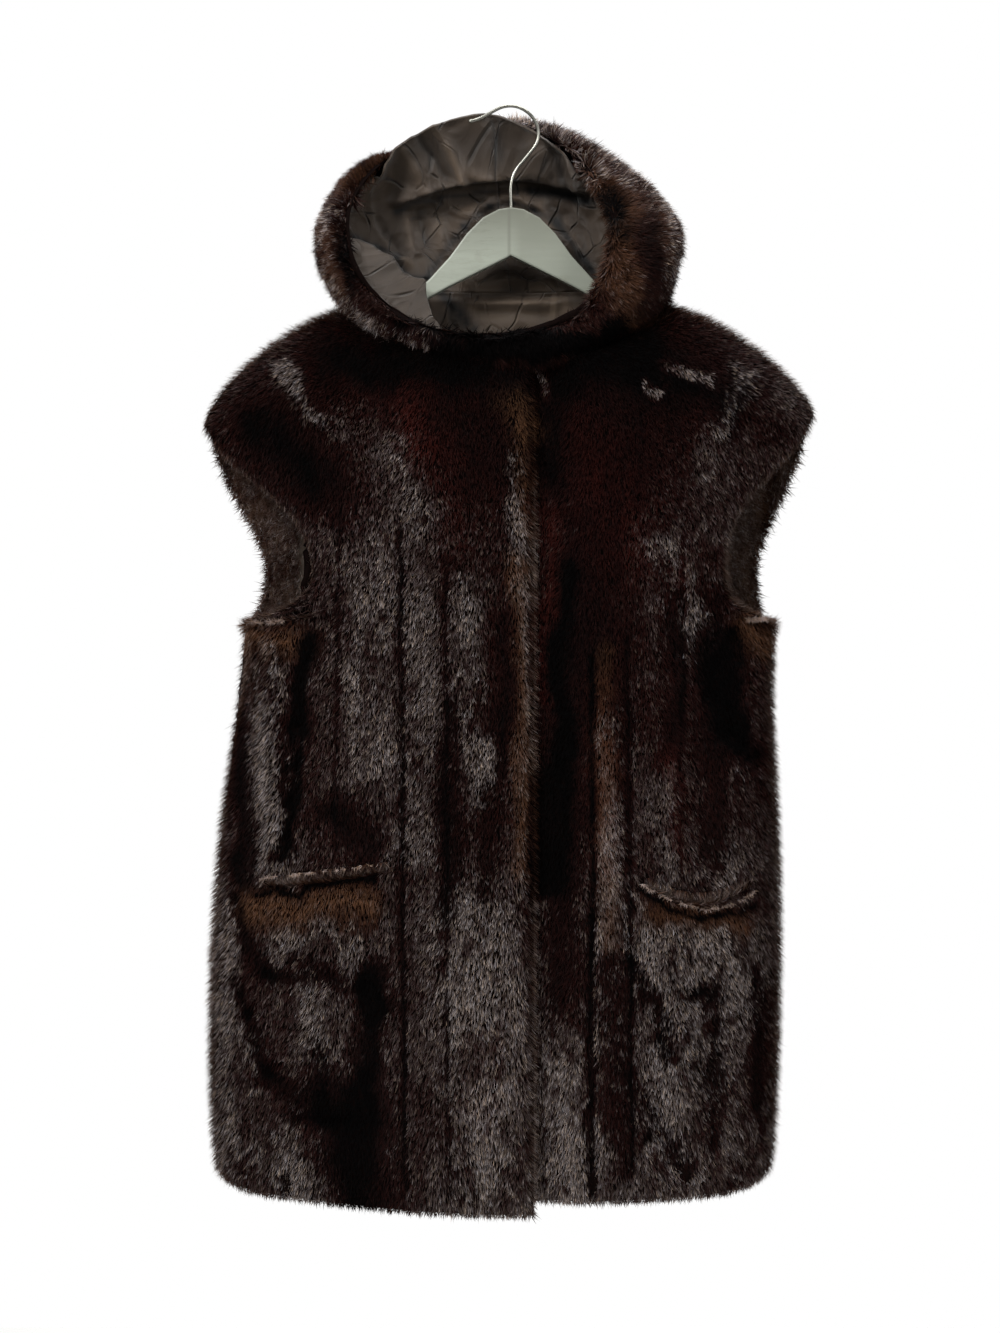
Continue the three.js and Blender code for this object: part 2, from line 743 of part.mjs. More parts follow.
// ---------------------------------------------------------------- hanger
// Half of the hanger's outline, from the top of its neck to its end and back along the bottom.
const HANGER = table(
  "across top bottom",
  [0, -95, -141],
  [12, -97, -147],
  [27, -105, -154.5],
  [42, -120, -162],
  [58, -142, -170],
  [78, -164, -181],
  [100, -182.5, -197],
  [125, -197, -210],
  [150, -203, -218],
  [185, -216.6, -232.5],
  [203, -227.4, -242],
  [209, -234, -240],
);

function hangerShape() {
  const side = (sign, column) =>
    HANGER.map((row) => new THREE.Vector2(sign * row.across, row[column]));
  const outline = [
    ...side(1, "bottom"),
    ...side(1, "top").reverse(),
    ...side(-1, "top").slice(1),
    ...side(-1, "bottom").reverse().slice(0, -1),
  ];
  return new THREE.Shape(outline);
}

const STEM_DEPTH = 26;
const HANGER_TOP = HANGER[0].top;
const hookRoute = new THREE.CatmullRomCurve3(
  [
    [0, HANGER_TOP - STEM_DEPTH + 1],
    [0, HANGER_TOP],
    [0, -72],
    [4, -60],
    [16, -45],
    [25, -32],
    [25.5, -19],
    [18, -6],
    [5, 1.4],
    [-8, 1],
    [-20, -5],
    [-30, -10.5],
    [-40, -13],
  ].map(([x, z]) => vec(x, 0, z)),
);

function hook() {
  const section = new THREE.Shape();
  section.absarc(0, 0, WIRE / 2, 0, 2 * Math.PI);
  return new THREE.ExtrudeGeometry(section, {
    steps: 44,
    curveSegments: 4,
    extrudePath: hookRoute,
  });
}

function hangerBoard() {
  const bevel = 1.5;
  const geometry = board(hangerShape(), WOOD - 2 * bevel, 0, {
    bevelEnabled: true,
    bevelThickness: bevel,
    bevelSize: bevel,
    bevelOffset: -bevel,
    bevelSegments: 2,
  });
  geometry.deleteAttribute("normal");
  geometry.deleteAttribute("uv");
  const bore = new THREE.CylinderGeometry(
    WIRE / 2 + GAP,
    WIRE / 2 + GAP,
    2 * STEM_DEPTH,
    16,
  )
    .rotateX(Math.PI / 2)
    .translate(0, 0, HANGER_TOP);
  bore.deleteAttribute("normal");
  bore.deleteAttribute("uv");
  return geometryOf(
    solid(mergeVertices(geometry, 1e-3)).subtract(solid(mergeVertices(bore, 1e-3))),
  );
}

// ---------------------------------------------------------------- materials and the object
const paint = (color, roughness, metalness = 0) =>
  new THREE.MeshStandardMaterial({ color, roughness, metalness });
const FINISH = {
  mink: paint("#24140f", 0.55),
  taffeta: paint("#4a4038", 0.5),
  pocketing: paint("#3a322c", 0.7),
  wood: paint("#b9bfb4", 0.5),
  steel: paint("#c9c9c6", 0.25, 1),
};

const vest = new THREE.Group();
function add(name, geometry, finish) {
  const mesh = new THREE.Mesh(geometry, FINISH[finish]);
  mesh.name = name;
  vest.add(mesh);
}

const slits = Object.fromEntries(
  POCKETS.map((pocket) => [pocket.side, slitCutter(pocket)]),
);
const frontWall = (name) =>
  geometryOf(solid(panelWall(name)).subtract(slits[name]));

add("front_right", frontWall("top"), "mink");
add("front_left", frontWall("under"), "mink");
add("back", panelWall("back"), "mink");
add("lining_front_right", bodyLining("top", 0.03, 0.86), "taffeta");
add("lining_front_left", bodyLining("under", 0.03, 0.97), "taffeta");
add("lining_back", bodyLining("back", 0.03, 0.97), "taffeta");
for (const pocket of POCKETS)
  add("pocket_bag_" + pocket.name, pocketBag(pocket), "pocketing");

const halves = [
  ["left", HOOD_SLOT, 0.5 - HOOD_SEAM],
  ["right", 0.5 + HOOD_SEAM, 1 - HOOD_SLOT],
];
const liningRows = HOOD_ROWS.filter((v) => v < 0.97);
const under = FUR + CLEAR;
for (const [side, from, to] of halves) {
  add("hood_" + side, hoodHalf(from, to, HOOD_ROWS, 0, FUR), "mink");
  add(
    "hood_lining_" + side,
    hoodHalf(from, to, liningRows, under, under + LINING),
    "taffeta",
  );
}
add("hanger_board", hangerBoard(), "wood");
add("hanger_hook", hook(), "steel");

export default vest;
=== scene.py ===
# %% [markdown]
# # A hooded mink vest on its hanger
#
# The vest hangs open and almost flat from a painted wooden hanger. Its solids come from model.glb,
# at their real size, and this script dresses them: fur on the leather, crinkled taffeta
# inside, paint on the wood and a bright wire hook. All sizes are in metres.

import math

import bpy
import numpy as np
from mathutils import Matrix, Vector, kdtree
from mathutils.bvhtree import BVHTree


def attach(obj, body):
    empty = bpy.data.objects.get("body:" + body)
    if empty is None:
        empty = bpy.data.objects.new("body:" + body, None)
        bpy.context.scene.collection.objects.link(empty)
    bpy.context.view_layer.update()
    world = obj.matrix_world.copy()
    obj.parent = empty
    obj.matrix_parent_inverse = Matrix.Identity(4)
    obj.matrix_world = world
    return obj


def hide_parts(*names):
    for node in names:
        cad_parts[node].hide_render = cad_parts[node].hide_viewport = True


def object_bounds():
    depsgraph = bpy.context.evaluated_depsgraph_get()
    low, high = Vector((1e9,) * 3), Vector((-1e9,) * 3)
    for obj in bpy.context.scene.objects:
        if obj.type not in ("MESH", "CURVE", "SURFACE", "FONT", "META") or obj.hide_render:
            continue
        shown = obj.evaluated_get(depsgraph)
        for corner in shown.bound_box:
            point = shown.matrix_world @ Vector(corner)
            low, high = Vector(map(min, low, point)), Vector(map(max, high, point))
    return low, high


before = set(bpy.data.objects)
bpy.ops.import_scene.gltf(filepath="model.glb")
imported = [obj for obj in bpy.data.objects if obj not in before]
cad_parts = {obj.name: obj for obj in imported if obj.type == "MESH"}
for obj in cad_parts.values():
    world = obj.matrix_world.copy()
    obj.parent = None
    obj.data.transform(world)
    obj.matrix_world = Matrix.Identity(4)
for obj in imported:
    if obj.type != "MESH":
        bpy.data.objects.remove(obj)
CAD_BOX = [list(corner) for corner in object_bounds()]
MM = 0.001
print("the solids reach from", CAD_BOX[0], "to", CAD_BOX[1])

# %% [markdown]
# ## Camera
#
# The vest is seen straight from the front, at the height of its middle. A near camera with a short
# lens would make the hood bulge, so this one stands some steps away with a long lens, which keeps
# the vest's sides upright. The lens follows from the distance and the height of the view.

# %% Camera
VIEW_CENTRE = Vector((-10.5 * MM, 0, -530.6 * MM))
VIEW_HEIGHT = 1266 * MM
CAMERA_FAR = 2.7
SENSOR = 36

camera_data = bpy.data.cameras.new("camera")
camera_data.sensor_fit = "VERTICAL"
camera_data.sensor_height = SENSOR
camera_data.lens = SENSOR * CAMERA_FAR / VIEW_HEIGHT
camera = bpy.data.objects.new("camera", camera_data)
camera.location = VIEW_CENTRE - Vector((0, CAMERA_FAR, 0))
camera.rotation_euler = (math.radians(90), 0, 0)
bpy.context.scene.collection.objects.link(camera)
bpy.context.scene.camera = camera
print("camera", CAMERA_FAR, "m away, lens", round(camera_data.lens, 1), "mm")

# %% [markdown]
# ## Light
#
# Fur shows its sheen where light glances off the strands. Sun lamps would give it hard sparks, so
# large soft area lights are used: one high in front on the left, a weaker one on the right, and
# strips overhead that catch the shoulders. The white surround is bright to the camera and dim to
# the fur, which keeps the folds dark.


# %% Light
def table(columns, *rows):
    return [dict(zip(columns.split(), row)) for row in rows]


def soft_light(name, place, target, width, height, power):
    data = bpy.data.lights.new(name, "AREA")
    data.shape = "RECTANGLE"
    data.size = width
    data.size_y = height
    data.energy = power
    light = bpy.data.objects.new(name, data)
    light.location = place
    light.rotation_euler = (Vector(target) - Vector(place)).to_track_quat("-Z", "Y").to_euler()
    bpy.context.scene.collection.objects.link(light)


LIGHTS = table(
    "name place target width height power",
    ("key", (-1.7, -1.9, 1.2), (0, 0, -0.5), 0.8, 0.8, 74),
    ("fill", (1.9, -2.1, 0.3), (0, 0, -0.6), 1.0, 1.6, 26),
    ("brow", (0.1, -1.1, 1.6), (0, 0, -0.35), 1.2, 0.4, 20),
    ("top", (0.1, 0.4, 1.5), (0, 0, -0.3), 1.6, 0.6, 30),
    ("back", (0.6, 2.6, 0.6), (0, 0, -0.5), 1.6, 1.6, 50),
)
for row in LIGHTS:
    soft_light(**row)
print(len(LIGHTS), "soft lights,", sum(row["power"] for row in LIGHTS), "W in all")

# %% Surround
SEEN, CAST = 1.0, 0.16  # how bright it is to the camera, and how much light it gives
world = bpy.data.worlds.new("surround")
world.use_nodes = True
bpy.context.scene.world = world
sky = world.node_tree
sky_colour = sky.nodes["Background"]
is_camera = sky.nodes.new("ShaderNodeLightPath").outputs["Is Camera Ray"]
strength = sky.nodes.new("ShaderNodeMapRange")
strength.inputs["To Min"].default_value = CAST
strength.inputs["To Max"].default_value = SEEN
sky.links.new(is_camera, strength.inputs["Value"])
sky.links.new(strength.outputs["Result"], sky_colour.inputs["Strength"])
sky_colour.inputs["Color"].default_value = (1, 1, 1, 1)
bpy.context.scene.view_settings.view_transform = "Standard"

# %% [markdown]
# ## Floor
#
# A plain pale floor lies well below the hem, too low to be seen from the front.

# %% Floor
FLOOR_DROP = 0.42
FLOOR_SIZE = 2.6


def deselect():
    if bpy.context.object and bpy.context.object.mode == "EDIT":
        bpy.ops.object.mode_set(mode="OBJECT")
    bpy.ops.object.select_all(action="DESELECT")


deselect()
bpy.ops.mesh.primitive_plane_add(
    size=FLOOR_SIZE, location=(0, 0, CAD_BOX[0][2] - FLOOR_DROP)
)
floor = bpy.context.object
floor.name = "floor"
print("floor at", round(CAD_BOX[0][2] - FLOOR_DROP, 3), "m")

# %% [markdown]
# ## Finishes as expressions
#
# Each finish is a small node tree. Node by node such a tree is slow to read, so a `Finish` owns the
# tree, and a `Wire` is one value in it that can be added, multiplied or taken away like a number.
# Constants are set on the shader's own sockets.


# %% Finish and Wire
class Wire:
    """One socket's value, which takes part in sums."""

    def __init__(self, finish, socket):
        self.finish = finish
        self.socket = socket

    def maths(self, operation, first, second):
        return self.finish.node("ShaderNodeMath", {"operation": operation}, {0: first, 1: second})

    def __add__(self, other):
        return self.maths("ADD", self, other)

    def __sub__(self, other):
        return self.maths("SUBTRACT", self, other)

    def __rsub__(self, other):
        return self.maths("SUBTRACT", other, self)

    def __mul__(self, other):
        return self.maths("MULTIPLY", self, other)

    __radd__ = __add__
    __rmul__ = __mul__

    def limited(self):
        return self.finish.node("ShaderNodeClamp", {}, {"Value": self})


class Finish:
    """One material, whose shader's own sockets hold its constants."""

    def __init__(self, name, **constants):
        self.material = bpy.data.materials.new(name)
        self.material.use_nodes = True
        self.tree = self.material.node_tree
        self.shader = self.tree.nodes["Principled BSDF"]
        for socket, value in constants.items():
            self.shader.inputs[socket.replace("_", " ")].default_value = value

    def feed(self, socket, value):
        if isinstance(value, Wire):
            self.tree.links.new(value.socket, socket)
        else:
            socket.default_value = value

    def node(self, kind, settings=None, inputs=None, output=0):
        made = self.tree.nodes.new(kind)
        for name, value in (settings or {}).items():
            if name == "stops":
                self.set_stops(made.color_ramp, value)
            else:
                setattr(made, name, value)
        for key, value in (inputs or {}).items():
            self.feed(made.inputs[key], value)
        return Wire(self, made.outputs[output])

    def attribute(self, name, output="Color"):
        return self.node("ShaderNodeAttribute", {"attribute_name": name}, output=output)

    def parts(self, value, kind="ShaderNodeSeparateColor"):
        """The three parts of a colour, or of a place."""
        split = self.node(kind, {}, {0: value}).socket.node
        return [Wire(self, socket) for socket in split.outputs]

    def set_stops(self, ramp, stops):
        while len(ramp.elements) < len(stops):
            ramp.elements.new(1)
        for element, (at, value) in zip(ramp.elements, stops):
            element.position = at
            element.color = (value, value, value, 1)

    def blend(self, first, second, share):
        return self.node(
            "ShaderNodeMix", {"data_type": "RGBA"}, {0: share, 6: first, 7: second}, output=2
        )

    def place(self, scale=(1, 1, 1), turn=(0, 0, 0)):
        at = self.node("ShaderNodeTexCoord", output="Object")
        return self.node("ShaderNodeMapping", {}, {"Vector": at, "Scale": scale, "Rotation": turn})

    def noise(self, at, size, detail=2.0, rough=0.5):
        return self.node(
            "ShaderNodeTexNoise",
            {},
            {"Vector": at, "Scale": 1 / size, "Detail": detail, "Roughness": rough},
        )

    def ramp(self, value, *stops):
        return self.node("ShaderNodeValToRGB", {"stops": stops}, {"Fac": value})

    def bump(self, height, strength, distance):
        return self.node(
            "ShaderNodeBump", {}, {"Height": height, "Strength": strength, "Distance": distance}
        )

    def set(self, **values):
        for socket, value in values.items():
            self.feed(self.shader.inputs[socket.replace("_", " ")], value)
        print("finish:", self.material.name)
        return self.material


def dye(red, green, blue):
    """A colour given as it looks, 0 to 255, turned into the light it sends back."""
    shown = [value / 255 for value in (red, green, blue)]
    return (*[v / 12.92 if v < 0.04045 else ((v + 0.055) / 1.055) ** 2.4 for v in shown], 1)


paper = Finish("pale floor", Roughness=0.9)
tint = paper.noise(paper.place(), 0.6)
floor.data.materials.append(
    paper.set(Base_Color=paper.blend(dye(238, 238, 236), dye(246, 246, 244), tint))
)

# %% [markdown]
# ## Forms
#
# The solids are faceted walls in their true places. Fur and cloth could be built afresh, but they
# would have to be fitted, so they are shaped on copies of the solids: the copy is merged, its
# triangles are joined back into quads, its rims are drawn to the pieces they are sewn to, and a
# subdivision surface rounds it.


# %% Forms
def tree_of(nodes):
    corners, faces = [], []
    for node in nodes:
        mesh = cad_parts[node].data
        first = len(corners)
        corners += [v.co.copy() for v in mesh.vertices]
        faces += [[first + i for i in p.vertices] for p in mesh.polygons]
    return BVHTree.FromPolygons(corners, faces)


SEAM_REACH = 4 * MM
SEAM_OVERLAP = 0.1 * MM
SEAM_START = 0.02 * MM  # how far off its face a corner looks for the piece it is sewn to,
SEAM_INWARD = 0.15  # and how far in from the corner, as a share of the way to the face's middle
OPPOSED = -0.7  # two faces whose normals' product is less than this face each other


def draw_seams_together(piece, others):
    """Moves the corners of each rim half-way to the piece it is sewn to."""
    mesh = piece.data
    moves = {}
    for face in mesh.polygons:
        way = face.normal.copy()
        for i in face.vertices:
            corner = mesh.vertices[i].co
            start = corner.lerp(face.center, SEAM_INWARD) + way * SEAM_START
            hit = others.ray_cast(start, way, SEAM_REACH)
            if hit[0] is not None and hit[1].dot(way) < OPPOSED:
                moves.setdefault(i, []).append(way * (hit[3] / 2 + SEAM_OVERLAP))
    for i, ways in moves.items():
        longest = max(ways, key=lambda way: way.length)
        mesh.vertices[i].co += longest

# %% Rounded copies
WELD = 0.02 * MM
SHARP = math.radians(50)  # an edge that turns more than this stays sharp
FLAT_QUAD, SQUARE_QUAD = math.radians(60), math.radians(70)  # which triangles are joined


def smooth_copy(node, name, levels):
    """A rounded copy of a solid as an object of its own."""
    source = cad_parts[node]
    piece = bpy.data.objects.new(name, source.data.copy())
    piece.data.materials.clear()
    bpy.context.scene.collection.objects.link(piece)
    deselect()
    piece.select_set(True)
    bpy.context.view_layer.objects.active = piece
    bpy.ops.mesh.customdata_custom_splitnormals_clear()
    bpy.ops.object.mode_set(mode="EDIT")
    bpy.ops.mesh.select_all(action="SELECT")
    bpy.ops.mesh.remove_doubles(threshold=WELD)
    bpy.ops.mesh.tris_convert_to_quads(face_threshold=FLAT_QUAD, shape_threshold=SQUARE_QUAD)
    bpy.ops.mesh.select_all(action="DESELECT")
    bpy.ops.mesh.select_mode(type="EDGE")
    bpy.ops.mesh.edges_select_sharp(sharpness=SHARP)
    bpy.ops.transform.edge_crease(value=1)
    bpy.ops.mesh.select_all(action="DESELECT")
    bpy.ops.object.mode_set(mode="OBJECT")
    draw_seams_together(piece, tree_of(sorted(set(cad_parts) - {node})))
    if levels:
        rounding = piece.modifiers.new("rounding", "SUBSURF")
        rounding.levels = levels
        rounding.render_levels = levels
        bpy.ops.object.modifier_apply(modifier=rounding.name)
    bpy.ops.object.shade_smooth()
    return piece


# %% Meshes as arrays
def corners_of(piece, value="co"):
    """Each corner's place, or its normal, as a row."""
    found = np.empty(len(piece.data.vertices) * 3, np.float32)
    piece.data.vertices.foreach_get(value, found)
    return found.reshape(-1, 3).astype(float)


def write_points(piece, points):
    piece.data.vertices.foreach_set("co", points.astype(np.float32).ravel())
    piece.data.update()


def triangles_of(piece):
    piece.data.calc_loop_triangles()
    found = np.empty(len(piece.data.loop_triangles) * 3, np.int32)
    piece.data.loop_triangles.foreach_get("vertices", found)
    return found.reshape(-1, 3)


def wall_of(piece):
    corners = [Vector(p) for p in corners_of(piece)]
    return BVHTree.FromPolygons(corners, triangles_of(piece).tolist())


def unit(vectors):
    return vectors / np.maximum(np.linalg.norm(vectors, axis=-1, keepdims=True), 1e-12)

# %% Soft steps, noise and streaks
LATTICE = 32
BROAD = (22 * MM, 30 * MM, 34 * MM)
SMALL = (6 * MM, 8 * MM, 9 * MM)


def rise(low, high, value):
    """0 up to low, 1 from high on, and a soft step between them."""
    t = np.clip((value - low) / (high - low), 0, 1)
    return t * t * (3 - 2 * t)


def cloud(points, size, seed):
    """Soft seeded noise from 0 to 1 at each point. size may differ along X, Y and Z."""
    lattice = np.random.default_rng(seed).random((LATTICE,) * 3)
    at = points / np.asarray(size)
    cell = np.floor(at).astype(int)
    share = at - cell
    share = share * share * (3 - 2 * share)
    total = np.zeros(len(points))
    for corner in np.ndindex(2, 2, 2):
        weight = np.prod(np.where(corner, share, 1 - share), axis=1)
        i, j, k = ((cell + corner) % LATTICE).T
        total += weight * lattice[i, j, k]
    return total


def wander(points, far):
    """The points pushed about by soft noise, which gives streaks uneven edges."""
    broad = [cloud(points, BROAD, seed) - 0.5 for seed in (71, 72)]
    small = [cloud(points, SMALL, seed) - 0.5 for seed in (73, 74)]
    moved = points.copy()
    moved[:, 0] += far * (2.4 * broad[0] + 0.9 * small[0])
    moved[:, 2] += far * (3.2 * broad[1] + 0.9 * small[1])
    return moved


def streaks(points, rows, value="amount"):
    """The sum of soft streaks, each along a line in X and Z, at each point."""
    total = np.zeros(len(points))
    for row in rows:
        start = np.array((row["x0"], row["z0"])) * MM
        run = np.array((row["x1"], row["z1"])) * MM - start
        off = points[:, [0, 2]] - start
        along = np.clip(off @ run / max(run @ run, 1e-9), 0, 1)
        far = np.linalg.norm(off - along[:, None] * run, axis=1)
        total += row[value] * np.exp(-((far / (row["width"] * MM)) ** 2))
    return total

# %% [markdown]
# ## The fur's ground
#
# Mink is a dense soft underfur with longer guard hairs over it, on leather about 1 mm thick. A
# hair system alone would let the light through, so the ground is the leather and underfur
# together: the panel's own wall, with its outer face drawn in by part of the pile. The guard hairs
# grow from it and reach back out to the solid's face.

# %% Panels and sizes of the fur
PANELS = {
    "front_right": "body",
    "front_left": "body",
    "back": "body",
    "hood_left": "hood",
    "hood_right": "hood",
}
PILE_SINK = 5.5 * MM
SINK_SHARE = 0.45  # of the wall, where it is thin at a free edge
FUR_CLEAR = 1.2 * MM  # a face bears fur unless another fur panel lies this near,
CLOTH_CLEAR = 13 * MM  # or its own lining lies this near
FULL_WALL = 12 * MM
WALL_REACH = 50 * MM

# %% Round the hood
HOOD_CENTRE = np.array((-31, 0, -108)) * MM


def turn_and_radius(points):
    """Each point's place round the hood's centre as seen from the front, in degrees and metres."""
    off = points - HOOD_CENTRE
    return np.degrees(np.arctan2(off[:, 2], off[:, 0])) % 360, np.hypot(off[:, 0], off[:, 2])


def at_turn(turn, profile):
    """A value that is given at a few turns, in degrees from the viewer's right over the top."""
    return np.interp(turn, list(profile), list(profile.values()))


def radial(points):
    off = points - HOOD_CENTRE
    off[:, 1] = 0
    return unit(off)

# %% Armhole edges
ARM_SIDE = (188 * MM, 200 * MM)
ARM_ROLL = 9 * MM  # how far the fur rolls over the edge into the hole
ROLLED = 0.3  # a face that lies this much on the edge bears fur even over the lining
ARM_TURNED = (0.25, -0.25)
ARM_TOP, ARM_FOOT = (-300 * MM, -330 * MM), (-500 * MM, -490 * MM)


def armhole_edge(points, normals):
    """How far each point lies on an armhole's turned edge, from 0 to 1."""
    side = rise(*ARM_SIDE, np.abs(points[:, 0]))
    level = rise(*ARM_TOP, points[:, 2]) * rise(*ARM_FOOT, points[:, 2])
    turned = rise(*ARM_TURNED, normals[:, 0] * np.sign(points[:, 0]))
    return side * level * turned * (points[:, 1] > 0)

# %% Where the fur shows
CLOTHS = [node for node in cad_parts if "lining" in node or "pocket" in node]


def sees(tree, place, way, reach):
    """Whether something lies before a face, seen from just under it."""
    start = Vector(place) - Vector(way) * 0.5 * MM
    return tree.ray_cast(start, Vector(way), reach)[0] is not None


def measure_form(piece, node):
    """The faces of a form that bear fur, and how far its corners can be drawn in."""
    points, triangles = corners_of(piece), triangles_of(piece)
    cloths = tree_of(CLOTHS)
    panels = tree_of([other for other in PANELS if other != node])
    own = wall_of(piece)
    a, b, c = (points[triangles[:, i]] for i in range(3))
    cross = np.cross(b - a, c - a)
    centres, ways = (a + b + c) / 3, unit(cross)
    turned = armhole_edge(centres, ways) > ROLLED
    bears = np.array(
        [
            not sees(panels, place, way, FUR_CLEAR)
            and (rolled or not sees(cloths, place, way, CLOTH_CLEAR))
            for place, way, rolled in zip(centres, ways, turned)
        ]
    )
    out = np.zeros_like(points)
    for i in range(3):
        np.add.at(out, triangles[bears, i], cross[bears])
    furred = np.linalg.norm(out, axis=1) > 0
    out = np.where(furred[:, None], unit(out), corners_of(piece, "normal"))
    sink = np.zeros(len(points))
    for i in np.flatnonzero(furred):
        at, way = Vector(points[i]), Vector(out[i])
        back = own.ray_cast(at - way * 0.05 * MM, -way, WALL_REACH)
        wall = back[3] if back[0] else FULL_WALL
        sink[i] = min(PILE_SINK, SINK_SHARE * wall)
    return {"points": points, "out": out, "sink": sink, "triangles": triangles[bears]}

# %% [markdown]
# ## Folds
#
# The vest hangs in long soft folds, and creases run from the armholes and round the pockets. They
# could be sculpted or left to a cloth simulation. Here each is a row of a short table, a trough or
# a ridge along a line, in millimetres across and up from the hook, because a row is easy to move.
# The hidden back has folds like those of the fronts.

# %% Folds of the fronts
DIPS = "x0 z0 x1 z1 width dip"
FOLDS = table(
    DIPS,
    (-191, -514, -200, -587, 5, 6),
    (-200, -587, -211, -695, 5, 5.5),
    (-256, -575, -250, -730, 6, 4),
    (-228, -500, -226, -716, 12, -3),
    (-262, -743, -229, -816, 6, 5),
    (-229, -816, -206, -827, 6, 4.5),
    (-201, -801, -165, -814, 6, 4.5),
    (-260, -819, -240, -853, 6, 4.5),
    (-240, -853, -224, -905, 7, 5),
    (-224, -905, -194, -946, 7, 5),
    (-194, -946, -142, -954, 7, 4.5),
    (-136, -825, -118, -850, 8, 4),
    (-206, -1004, -206, -1030, 4, 4),
    (-210, -253, -179, -299, 9, -3),
    (-168, -672, -125, -680, 16, 3.5),
    (-102, -400, -98, -1010, 2.4, 1.6),
    (-60, -430, -58, -1020, 2.2, 1.0),
    (-44, -545, -17, -648, 9, -2),
    (26, -333, 55, -401, 4, 2.5),
    (76, -520, 75, -1020, 2.2, 1.2),
    (75, -760, 74, -1020, 4, 3),
    (94, -560, 96, -700, 9, -2.5),
    (109, -500, 113, -1000, 3, 1.6),
    (113, -799, 148, -890, 6, 5),
    (122, -748, 164, -893, 8, -3.5),
    (113, -905, 133, -969, 6, 5),
    (133, -969, 161, -1005, 7, 5),
    (192, -864, 192, -977, 7, 4.5),
    (171, -838, 185, -840, 7, 3.5),
    (208, -502, 208, -589, 8, 5),
    (208, -589, 233, -618, 7, 4.5),
    (235, -819, 237, -941, 8, 4),
    (218, -254, 199, -306, 9, -3),
)

# %% Folds of the back
BACK_FOLDS = table(
    DIPS,
    (-150, -470, -172, -760, 9, 5),
    (-172, -760, -166, -980, 8, 4),
    (-96, -560, -88, -860, 8, 3.5),
    (-30, -640, -36, -1000, 10, 4.5),
    (28, -420, 22, -640, 8, 3),
    (74, -600, 84, -900, 9, 4.5),
    (140, -500, 156, -800, 9, 5),
    (156, -800, 150, -1000, 8, 4),
    (214, -620, 222, -900, 8, 4),
    (-222, -600, -228, -860, 8, 4),
    (-120, -240, -60, -262, 12, 3),
    (60, -262, 122, -242, 12, 3),
)
print(len(FOLDS), "folds in front and", len(BACK_FOLDS), "behind")

# %% How deep the folds are
# Where the hood's rim lies along Y, in mm, and how high the pile stands along the hood's top.
RIM_FORTH = {72: 34, 90: 28, 105: 26, 120: 16, 135: 8, 150: -10, 165: -24}
CROWN_LIFT = {15: 6, 40: 10, 60: 11, 78: 7, 92: 0}
CROWN_BACK = (-2 * MM, 16 * MM)  # how far behind the rim it rises,
CROWN_FOOT = (-60 * MM, -20 * MM)  # and from which height up
LUMP = 5 * MM
LUMP_SIZE = (26 * MM, 26 * MM, 30 * MM)
FOLD_WANDER = 4 * MM


def behind_rim(points, turn):
    return points[:, 1] - at_turn(turn, RIM_FORTH) * MM


def fold_dip(points, kind):
    """How far the folds press each point in, or lift it where they are ridges."""
    if kind == "hood":
        lumps = LUMP * (cloud(points, LUMP_SIZE, 31) - 0.5)
        turn, radius = turn_and_radius(points)
        lift = at_turn(turn, CROWN_LIFT) * MM
        lift *= rise(*CROWN_BACK, behind_rim(points, turn))
        return lumps - lift * rise(*CROWN_FOOT, points[:, 2])
    uneven = wander(points, FOLD_WANDER)
    front = streaks(uneven, FOLDS, "dip")
    back = streaks(uneven, BACK_FOLDS, "dip")
    return np.where(points[:, 1] < 0, front, back) * MM

# %% [markdown]
# ## The hood's opening
#
# The open hood sags on the hook, so its rim isn't the plain round of the solid: the lower side
# stands out and the fur at the top stands up behind the lining. Moving corners by hand would be
# lost when a solid changes, so each move is a short list of how far the rim goes out, in mm, at a
# few turns round the hood's centre.

# %% The hood's opening
WIDE_OUT = {190: 0, 215: 9, 235: 8, 270: 6, 300: 12, 320: 15, 345: 0}
WIDE_REACH, WIDE_FRONT = (180 * MM, 120 * MM), (10 * MM, -30 * MM)
PEAK_OUT = {22: 0, 42: 8, 60: 11, 76: 9, 88: 0}
PEAK_FRONT = (62 * MM, 36 * MM)
BARE = {72: 0, 84: 1, 138: 1, 152: 0}  # where the rolled lining presses the fur down,
BARE_NEAR = (30 * MM, 18 * MM)  # and how near the rim it does so


def opened(points):
    """The lower side of the hood's opening eased outwards, with the lining inside it."""
    turn, radius = turn_and_radius(points)
    near = rise(*WIDE_FRONT, points[:, 1]) * rise(*WIDE_REACH, radius)
    out = at_turn(turn, WIDE_OUT) * MM * near
    return points + radial(points) * out[:, None]


def peaked(points):
    """The fur's rim at the top of the hood, standing up behind the lining."""
    turn, radius = turn_and_radius(points)
    out = at_turn(turn, PEAK_OUT) * MM * rise(*PEAK_FRONT, points[:, 1])
    return points + radial(points) * out[:, None]


def rolled_rim(points, normals):
    """Where the lining's edge is rolled out over the hood's rim, from 0 to 1."""
    turn, radius = turn_and_radius(points)
    return at_turn(turn, BARE) * rise(*BARE_NEAR, np.abs(behind_rim(points, turn)))


# %% The ground pieces
def belongs(piece, node=None):
    """The piece hangs with the vest and may replace a solid."""
    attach(piece, "root")
    if node:
        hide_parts(node)


